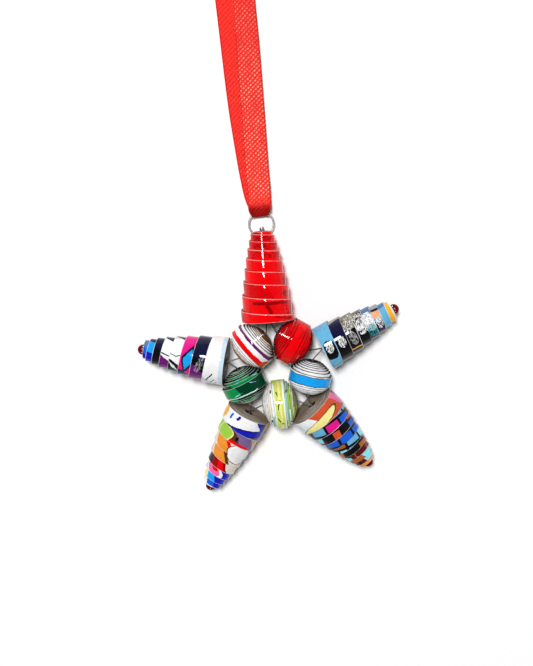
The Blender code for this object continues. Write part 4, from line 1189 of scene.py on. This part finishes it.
@dataclass(frozen=True)
class Satin:
    """Finish of the red satin ribbon, with painted highlights and a painted shade at the fold. A piece wider
    than `widest_half` twice over has no fold shade.
    """

    deep: Colour = (0.68, 0.007, 0.006)
    bright: Colour = (1.0, 0.034, 0.022)
    # Colour of the painted highlights on the floats.
    painted_glint: Colour = (1.0, 0.60, 0.42)
    # Colour of the painted shade where the ribbon turns over the jump ring.
    fold: Colour = (0.30, 0.001, 0.001)
    ribs: float = 6.2
    widest_half: float = 5.0

    def material(self, name: str, half: float, shine: float = 0.12) -> bpy.types.Material:
        """Draws the weave, with painted highlights on its floats and painted shade at the fold.

        Args:
            name: The material's name.
            half: Half the ribbon's width in millimetres, where its selvedge is.
            shine: How strong the painted highlights on the floats are, between the fold and the ribbon's
                middle.

        Returns:
            The material.
        """
        material, bench, shader = new_material(name)
        cloth = bench.uv("cloth")
        weave = WEAVE.place(bench, Cloth=cloth, Ribs=self.ribs, Half=half)
        body = bench.ramp(weave["Floats"], [(0.28, self.deep), (0.62, self.bright)])
        edge = bench.blend(bench.times(weave["Selvedge"], 0.55), body, (*self.deep, 1.0))
        along = bench.parts(cloth)[0]
        # Painted highlights: bright dashes in patches, strongest from past the fold to the ribbon's middle.
        blotches = bench.noise(bench.vector("MULTIPLY", cloth, (0.16, 0.5, 1.0)), 1.0, 2.0)
        patchy = bench.span(blotches, 0.35, 0.62, 0.35)
        reach = bench.times(bench.span(along, 3.5, 7.0), bench.span(along, 38.0, 62.0, 1.0, 0.3))
        painted_glint = bench.times(bench.times(bench.times(weave["Glint"], patchy), shine), reach)
        satin = bench.blend(painted_glint, edge, (*self.painted_glint, 1.0))
        # Painted shade near the start of each narrow piece: at the jump ring for the strands, at the knot for
        # the tails.
        if half < self.widest_half:
            wander = bench.times(bench.noise(cloth, 0.9, 2.0), 1.6)
            fold_shade_mask = bench.span(bench.plus(along, wander), 3.6, 5.4, 0.92, 0.0)
            satin = bench.blend(fold_shade_mask, satin, (*self.fold, 1.0))
        bench.feed(shader, {
            "Base Color": satin, "Roughness": bench.span(weave["Floats"], 0.2, 0.8, 0.40, 0.56),
            "Specular IOR Level": 0.12, "Sheen Weight": 0.04, "Sheen Roughness": 0.35,
            "Normal": bench.bump(weave["Height"], 0.00012, 0.9),
        })
        return material


@dataclass
class WireWork:
    """The stringing wire and the jump ring."""

    ring_radius: float = 0.003375
    ring_wire: float = 0.00035
    ring_cut: float = 0.0002
    cut_degrees: float = 215.0
    steps: int = 144
    sides: int = 16
    drawn: BrightWire = BrightWire("drawn_wire", (0.20, 0.19, 0.18), (0.10, 0.095, 0.09), 0.40)
    plated: BrightWire = BrightWire("plated_ring", (0.82, 0.81, 0.79), (0.62, 0.61, 0.59))

    def stringing(self, metal: bpy.types.Material) -> bpy.types.Object:
        """The stringing wire, its CAD mesh merged and smoothed."""
        work = bmesh.new()
        work.from_mesh(frame["nodes"]["stringing_wire"].data)
        bmesh.ops.remove_doubles(work, verts=work.verts, dist=0.000001)
        piece = finish_piece("drawn_stringing_wire", work, [metal])
        smooth(piece, 60.0)
        return settle(piece, "stringing_wire", "stringing")

    def ring(self, metal: bpy.types.Material) -> bpy.types.Object:
        """The jump ring, round wire bent nearly closed."""
        swing = joint_named("ring_swing")
        inward = UP.cross(Vector(swing["axis"]))
        centre = Vector(swing["pos_m"]) + inward * self.ring_radius
        half_cut = self.ring_cut / 2 / self.ring_radius
        start = math.radians(self.cut_degrees) + half_cut
        sweep = math.tau - 2 * half_cut
        spokes = []
        for step in range(self.steps + 1):
            turn = start + sweep * step / self.steps
            spokes.append(Vector((math.cos(turn), math.sin(turn), 0.0)))
        path = [centre + spoke * self.ring_radius for spoke in spokes]
        ups = [UP] * len(path)
        work = tube(path, spokes, ups, round_profile(self.ring_wire, self.sides))
        piece = finish_piece("bent_jump_ring", work, [metal])
        smooth(piece, 60.0)
        return settle(piece, "jump_ring", "ring")

    def build(self) -> None:
        """Makes both pieces of wire."""
        self.stringing(self.drawn.material())
        self.ring(self.plated.material())


@dataclass
class SeedBead:
    """A glass bead at the tip of a cone, turned from a rounded profile."""

    cone: str
    radius: float = 0.0014
    half_length: float = 0.00085
    hole: float = 0.00045
    corner: float = 0.00052
    segments: int = 40

    def outline(self) -> list[Vector]:
        """The bead's closed profile: its round outer side, and the hole."""
        points = []
        for step in range(7):
            turn = math.radians(90.0 - 15.0 * step)
            out = self.radius - self.corner + self.corner * math.cos(turn)
            height = self.half_length - self.corner + self.corner * math.sin(turn)
            points.append((out, height))
        points += [(out, -height) for out, height in reversed(points)]
        lip = self.corner / 4
        points.insert(0, (self.hole + lip, self.half_length))
        points.append((self.hole + lip, -self.half_length))
        points.append((self.hole, lip - self.half_length))
        points.append((self.hole, self.half_length - lip))
        return [Vector((out, 0.0, height)) for out, height in points]

    def build(self, glass: bpy.types.Material) -> None:
        """Turns the bead in its place."""
        work = bmesh.new()
        points = [work.verts.new(point) for point in self.outline()]
        edges = [work.edges.new((points[index - 1], points[index])) for index in range(len(points))]
        bmesh.ops.spin(work, geom=points + edges, cent=(0, 0, 0), axis=(0, 0, 1), angle=math.tau,
                       steps=self.segments, use_merge=True)
        bmesh.ops.remove_doubles(work, verts=work.verts, dist=0.000001)
        bmesh.ops.recalc_face_normals(work, faces=work.faces)
        bmesh.ops.transform(work, matrix=seed_frame(self.cone), verts=work.verts)
        piece = finish_piece(f"glass_seed_{self.cone}", work, [glass])
        smooth(piece, 50.0)
        settle(piece, f"seed_bead_{self.cone}", "stringing")


@dataclass(frozen=True)
class Station:
    """A place on the ribbon: along it and to its right from the ring, its height, width and roll."""

    along: float
    right: float
    height: float
    width: float
    roll: float = 0.0


@dataclass
class HangingRibbon:
    """The satin ribbon: a strand each side of the jump ring, and the knot that joins them."""

    width: float = 0.00635
    thickness: float = 0.0003
    cloth: float = 0.00020
    length: float = 0.125
    floor_gap: float = 0.0001
    fold_room: float = 0.00055
    ring_wire: float = 0.00035
    fold_depth: float = 0.0013
    fold_width: float = 0.0036
    passing: float = 0.0061
    curl_from: float = 0.0016
    curl: float = 1.3
    knot_length: float = 0.0095
    knot_width: float = 0.0098
    knot_height: float = 0.0056
    knot_gap: float = 0.0003
    tail_reach: float = 0.01485
    tail_spread: float = 20.0
    tail_level: float = 0.00030
    tail_overlap: float = 0.00056
    tail_slant: float = 0.0011
    per_millimetre: float = 2.2
    columns: int = 14
    settling: float = 30.0
    knot_half_wide: float = 0.00165
    knot_half_thick: float = 0.00085
    finish: Satin = field(default_factory=Satin)

    def __post_init__(self) -> None:
        """Takes the ribbon's place from the joint that it swings on."""
        swing = joint_named("ribbon_swing")
        self.origin = Vector(swing["pos_m"])
        self.right = Vector(swing["axis"]).normalized()
        self.along = UP.cross(self.right)

    def stations(self) -> tuple[list[Station], list[Station]]:
        """The route of the back strand and of the front strand, each from the fold to the knot."""
        low = self.floor_gap + self.thickness / 2
        middle = self.origin.z
        over = middle + self.ring_wire + self.fold_room + self.thickness / 2
        end = self.length - self.knot_length / 2 - self.knot_gap
        full = self.width
        stacked = 2 * low + self.thickness
        knot_level = self.knot_height / 2
        turn = Station(-self.fold_depth, 0.0, middle, self.fold_width)
        flat = ((0.0040, -0.0006), (0.0090, -0.0012), (0.0176, -0.0018), (0.0309, -0.0024),
                (0.0567, -0.0027), (0.077, -0.0032), (0.100, -0.0026))
        raised = ((0.0110, 0.0004, 0.0006, 0), (0.0176, 0.0006, 0.0003, 0), (0.0309, 0.0010, 0.0004, 4),
                  (0.0440, 0.0014, 0.0008, 14), (0.0567, 0.0017, 0.0011, 24), (0.0770, 0.0024, 0.0013, 26),
                  (0.0960, 0.0022, 0.0009, 14), (0.109, 0.0010, 0.0009, 4))
        back = [
            turn,
            Station(-self.fold_depth * 0.8, 0.0, low + 0.0002, self.fold_width),
            Station(0.0008, -0.0001, low, self.passing * 0.9),
            *(Station(along, right, low, full) for along, right in flat),
            Station(0.112, -0.0012, 0.0009, full),
            Station(end, -0.0004, knot_level - 0.0006, full * 0.8),
        ]
        front = [
            turn,
            Station(-self.fold_depth * 0.85, 0.0, over - 0.0003, self.fold_width * 1.18),
            Station(-0.0002, 0.0, over, self.passing * 0.85),
            Station(0.0008, 0.0, over + 0.0001, self.passing * 0.95),
            Station(0.0024, 0.0001, over + 0.0001, full * 0.98),
            Station(0.0060, 0.0003, over - 0.0002, full),
            *(Station(along, right, stacked + rise, full, roll) for along, right, rise, roll in raised),
            Station(end, 0.0004, knot_level + 0.0006, full * 0.8),
        ]
        return back, front

    def lines(self, stations: Sequence[Station]) -> list[tuple[Vector, Vector, Vector]]:
        """The strand's centre, sideways and upward vectors at close steps along its route."""
        steps = round((stations[-1].along - stations[0].along) / MM * self.per_millimetre)
        names = ("along", "right", "height", "width", "roll")
        columns = {name: [getattr(station, name) for station in stations] for name in names}
        between = 20
        coarse = [{name: smooth_value(values, step / between) for name, values in columns.items()}
                  for step in range(between * (len(stations) - 1) + 1)]
        spots = [Vector((here["along"], here["right"], here["height"])) for here in coarse]
        reached = [0.0]
        for before, after in zip(spots, spots[1:]):
            reached.append(reached[-1] + (after - before).length)
        lines = []
        place = 0
        for step in range(steps + 1):
            goal = reached[-1] * step / steps
            while place < len(reached) - 2 and reached[place + 1] < goal:
                place += 1
            share = (goal - reached[place]) / max(reached[place + 1] - reached[place], 1e-9)
            before, after = coarse[place], coarse[place + 1]
            here = {name: before[name] * (1 - share) + after[name] * share for name in names}
            flat = Vector((self.origin.x, self.origin.y, 0.0))
            centre = flat + self.along * here["along"] + self.right * here["right"]
            centre.z = here["height"]
            roll = math.radians(here["roll"])
            side = (self.right * math.cos(roll) - UP * math.sin(roll)) * (here["width"] / 2)
            lines.append((centre, side, side.normalized().cross(self.along)))
        return lines

    def sheet(self, sections: int, length: float) -> bmesh.types.BMesh:
        """A flat grid of cloth, one unit long and wide, with its real place in the UV map "cloth".

        Args:
            sections: How many faces it has along.
            length: Its real length in millimetres.

        Returns:
            The grid.
        """
        work = bmesh.new()
        bmesh.ops.create_grid(work, x_segments=sections, y_segments=self.columns, size=0.5)
        cloth = work.loops.layers.uv.new("cloth")
        for face in work.faces:
            for loop in face.loops:
                place = loop.vert.co
                loop[cloth].uv = ((place.x + 0.5) * length, place.y * self.width / MM)
        return work

    def drape(self, name: str, work: bmesh.types.BMesh, satin: bpy.types.Material,
              node: str) -> bpy.types.Object:
        """Turns a shaped sheet into a finished piece as thick as the cloth, in its CAD node's place."""
        bmesh.ops.recalc_face_normals(work, faces=work.faces)
        piece = finish_piece(name, work, [satin])
        piece.data.shade_smooth()
        thicken = piece.modifiers.new("cloth", "SOLIDIFY")
        thicken.thickness = self.cloth
        thicken.offset = 0.0
        return settle(piece, node, "ribbon")

    def strand(self, name: str, stations: Sequence[Station], cup: float, curl: float,
               shine: float) -> bpy.types.Object:
        """One strand as a thin strip of cloth.

        Args:
            name: The piece's name.
            stations: Its route.
            cup: How high its middle stands above its edges.
            curl: How steeply its edges rise at the fold, over the jump ring.
            shine: How strong the painted highlights on its weave are.

        Returns:
            The finished piece.
        """
        lines = self.lines(stations)
        count = len(lines) - 1
        work = self.sheet(count, count / self.per_millimetre)
        for vertex in work.verts:
            station = round((vertex.co.x + 0.5) * count)
            across = -2.0 * vertex.co.y
            centre, side, up = lines[station]
            fade = min(1.0, station / self.settling, (count - station) / self.settling)
            ripple = noise.noise(Vector((station / self.per_millimetre * 0.10, across * 0.5, cup / MM)))
            rise = (cup * (1.0 - across * across) + ripple * 0.00012) * fade
            reach = (centre - self.origin).dot(self.along)
            outside = max(0.0, side.length * abs(across) - self.curl_from)
            rise += outside * curl * (1.0 - smooth_step(reach, 0.0003, 0.0034))
            vertex.co = centre + side * across + UP * rise
        satin = self.finish.material(f"satin_{name}", self.width / MM / 2, shine)
        return self.drape(name, work, satin, "hanging_ribbon")

    def declare(self, stations: Sequence[Station]) -> None:
        """Works out a strand's centre line from the ring to the knot, and does nothing more with it."""
        path = [centre for centre, _, _ in self.lines(stations)]

    def build(self) -> None:
        """Makes the two strands and the knot."""
        back_route, front_route = self.stations()
        back = self.strand("ribbon_back_strand", back_route, 0.00005, 0.0, 0.10)
        front = self.strand("ribbon_front_strand", front_route, 0.00030, self.curl, 1.0)
        knot = self.knot()
        tails = [self.tail("left", -1), self.tail("right", 1)]
        self.declare(back_route)
        self.declare(front_route)

    def knot(self) -> bpy.types.Object:
        """The overhand knot in the doubled ribbon; its two cut tails are made by `tail`."""
        middle = self.origin + self.along * self.length
        middle.z = self.knot_height / 2 + self.floor_gap
        reach = (self.knot_width * 0.165, self.knot_length * 0.044, self.knot_height * 0.115)
        limit, tightening, steps, segments = 2.02, 0.75, 90, 36
        path = []
        for step in range(steps + 1):
            turn = -limit + 2 * limit * step / steps
            hold = 1.0 - smooth_step(abs(turn), 1.55, limit) * tightening
            across = (turn**3 - 3 * turn) * reach[0] * hold
            along = (turn**5 - 10 * turn) * reach[1]
            height = (turn**4 - 4 * turn**2 + 1.9) * reach[2]
            path.append(middle + self.right * across + self.along * along + UP * height)
        sides, ups = [], []
        for index, point in enumerate(path):
            ahead = path[min(index + 1, len(path) - 1)] - path[max(index - 1, 0)]
            side = ahead.cross(UP).normalized()
            sides.append(side)
            ups.append(side.cross(ahead).normalized())
        profile = []
        for index in range(segments):
            turn = math.tau * index / segments
            folds = 1.0 + 0.16 * math.cos(7 * turn)
            height = self.knot_half_thick * math.sin(turn) * folds
            profile.append((self.knot_half_wide * math.cos(turn), height))
        work = tube(path, sides, ups, profile)
        piece = finish_piece("ribbon_overhand_knot", work, [self.finish.material("satin_knot", 9.0)])
        smooth(piece, 60.0)
        return settle(piece, "ribbon_knot", "ribbon")

    def tail(self, name: str, side: int) -> bpy.types.Object:
        """One cut tail: gathered where it leaves the knot, and flat at its slanted end.

        Args:
            name: The side's name.
            side: -1 for the left tail, 1 for the right one, which lies on it.

        Returns:
            The finished piece.
        """
        turn = math.radians(self.tail_spread) * side
        ahead = self.along * math.cos(turn) + self.right * math.sin(turn)
        across = self.right * math.cos(turn) - self.along * math.sin(turn)
        root = self.origin + self.along * self.length
        level = self.floor_gap + self.tail_level + (1 + side) / 2 * self.tail_overlap
        work = self.sheet(34, self.tail_reach / MM)
        for vertex in work.verts:
            share, spread = vertex.co.x + 0.5, 2.0 * vertex.co.y
            open_out = smooth_step(share, 0.22, 0.72)
            half = self.width / 2 * (0.52 + 0.48 * open_out)
            cut = spread * side * self.tail_slant * share**6
            reach = share * (self.tail_reach - self.tail_slant) + cut
            folds = 0.00034 * math.cos(spread * 8.2 + side) * (1.0 - open_out)
            rise = (self.knot_height / 2 - level) * (1.0 - smooth_step(share, 0.05, 0.52))
            wave = 0.00010 * math.sin(share * 9.0 + spread * 1.3 + side)
            vertex.co = root + ahead * reach + across * half * spread
            vertex.co.z = level + rise + folds + wave
        satin = self.finish.material(f"satin_tail_{name}", self.width / MM / 2)
        return self.drape(f"ribbon_tail_{name}", work, satin, "ribbon_knot")


def smooth_value(values: Sequence[float], place: float) -> float:
    """A value between numbered stations, on a smooth curve through all of them."""
    index = min(int(place), len(values) - 2)
    share = place - index
    second, third = values[index], values[index + 1]
    first = values[max(index - 1, 0)]
    fourth = values[min(index + 2, len(values) - 1)]
    square, cube = share**2, share**3
    return 0.5 * (
        2 * second
        + (third - first) * share
        + (2 * first - 5 * second + 4 * third - fourth) * square
        + (3 * second - first - 3 * third + fourth) * cube
    )


def smooth_step(value: float, low: float, high: float) -> float:
    """Rises from 0 to 1 between two values, with no corners."""
    share = max(0.0, min(1.0, (value - low) / (high - low)))
    return share * share * (3.0 - 2.0 * share)


@dataclass
class Studio:
    """The floor, the light and the camera."""

    target: Vector = field(default_factory=lambda: Vector((-0.00035, 0.00497, 0.0)))
    distance: float = 0.320
    tilt: float = math.radians(12.0)
    frame_height: float = 0.278 * 666 * MM
    floor_size: float = 3.0
    ceiling: float = 0.06
    walls: float = 0.40
    key_power: float = 29.0
    key_size: tuple[float, float] = (0.30, 0.46)
    key_place: Vector = field(default_factory=lambda: Vector((-0.20, 0.62, 1.6)))

    def camera(self) -> None:
        """A camera that leans back from straight above, towards the ribbon."""
        data = bpy.data.cameras.new("camera")
        data.sensor_width = 36.0
        data.lens = data.sensor_width * self.distance / self.frame_height
        camera = bpy.data.objects.new("camera", data)
        away = Vector((0.0, math.sin(self.tilt), math.cos(self.tilt)))
        camera.location = self.target + away * self.distance
        camera.rotation_euler = (-self.tilt, 0.0, 0.0)
        bpy.context.scene.collection.objects.link(camera)
        bpy.context.scene.camera = camera
        bpy.context.scene.view_settings.view_transform = "Standard"

    def floor(self) -> None:
        """A white sheet of paper that the star lies on."""
        work = bmesh.new()
        bmesh.ops.create_grid(work, x_segments=1, y_segments=1, size=self.floor_size / 2)
        material, bench, shader = new_material("white_floor")
        grain = bench.noise(bench.millimetres(), 0.9, 3.0, 0.6)
        stops = [(0.3, (0.945, 0.945, 0.95)), (0.7, (0.985, 0.985, 0.985))]
        paper = bench.ramp(grain, stops)
        bench.feed(shader, {"Base Color": paper, "Roughness": 0.9, "Specular IOR Level": 0.1})
        finish_piece("floor", work, [material])

    def lights(self) -> None:
        """One soft lamp beyond the ribbon, and an even pale surround."""
        lamp = bpy.data.lights.new("key", "AREA")
        lamp.shape = "ELLIPSE"
        lamp.size, lamp.size_y = self.key_size
        lamp.energy = self.key_power
        key = bpy.data.objects.new("key", lamp)
        key.location = self.target + self.key_place
        key.rotation_euler = (-self.key_place).to_track_quat("-Z", "Y").to_euler()
        bpy.context.scene.collection.objects.link(key)
        world = bpy.data.worlds.new("surround")
        bpy.context.scene.world = world
        world.use_nodes = True
        bench = Bench(world.node_tree)
        height = bench.parts(bench.add("TexCoord").outputs["Generated"])[2]
        strength = bench.span(height, 0.35, 0.92, self.walls, self.ceiling)
        bench.feed(world.node_tree.nodes["Background"], {"Color": (1.0, 1.0, 1.0, 1.0), "Strength": strength})

    def build(self) -> None:
        """Sets the camera, the floor and the light."""
        self.camera()
        self.floor()
        self.lights()


def main() -> None:
    """Builds the scene in order, the camera and the ribbon first."""
    logging.basicConfig(level=logging.INFO, format="%(message)s")
    Studio().build()
    HangingRibbon().build()
    for cone in cones():
        cone.build("cone")
    for barrel in barrels():
        barrel.build("barrel")
    WireWork().build()
    glass = RubyGlass().material()
    for cone_name in ("left", "lower_left", "lower_right", "right"):
        SeedBead(cone_name).build(glass)


if __name__ == "__main__":
    main()
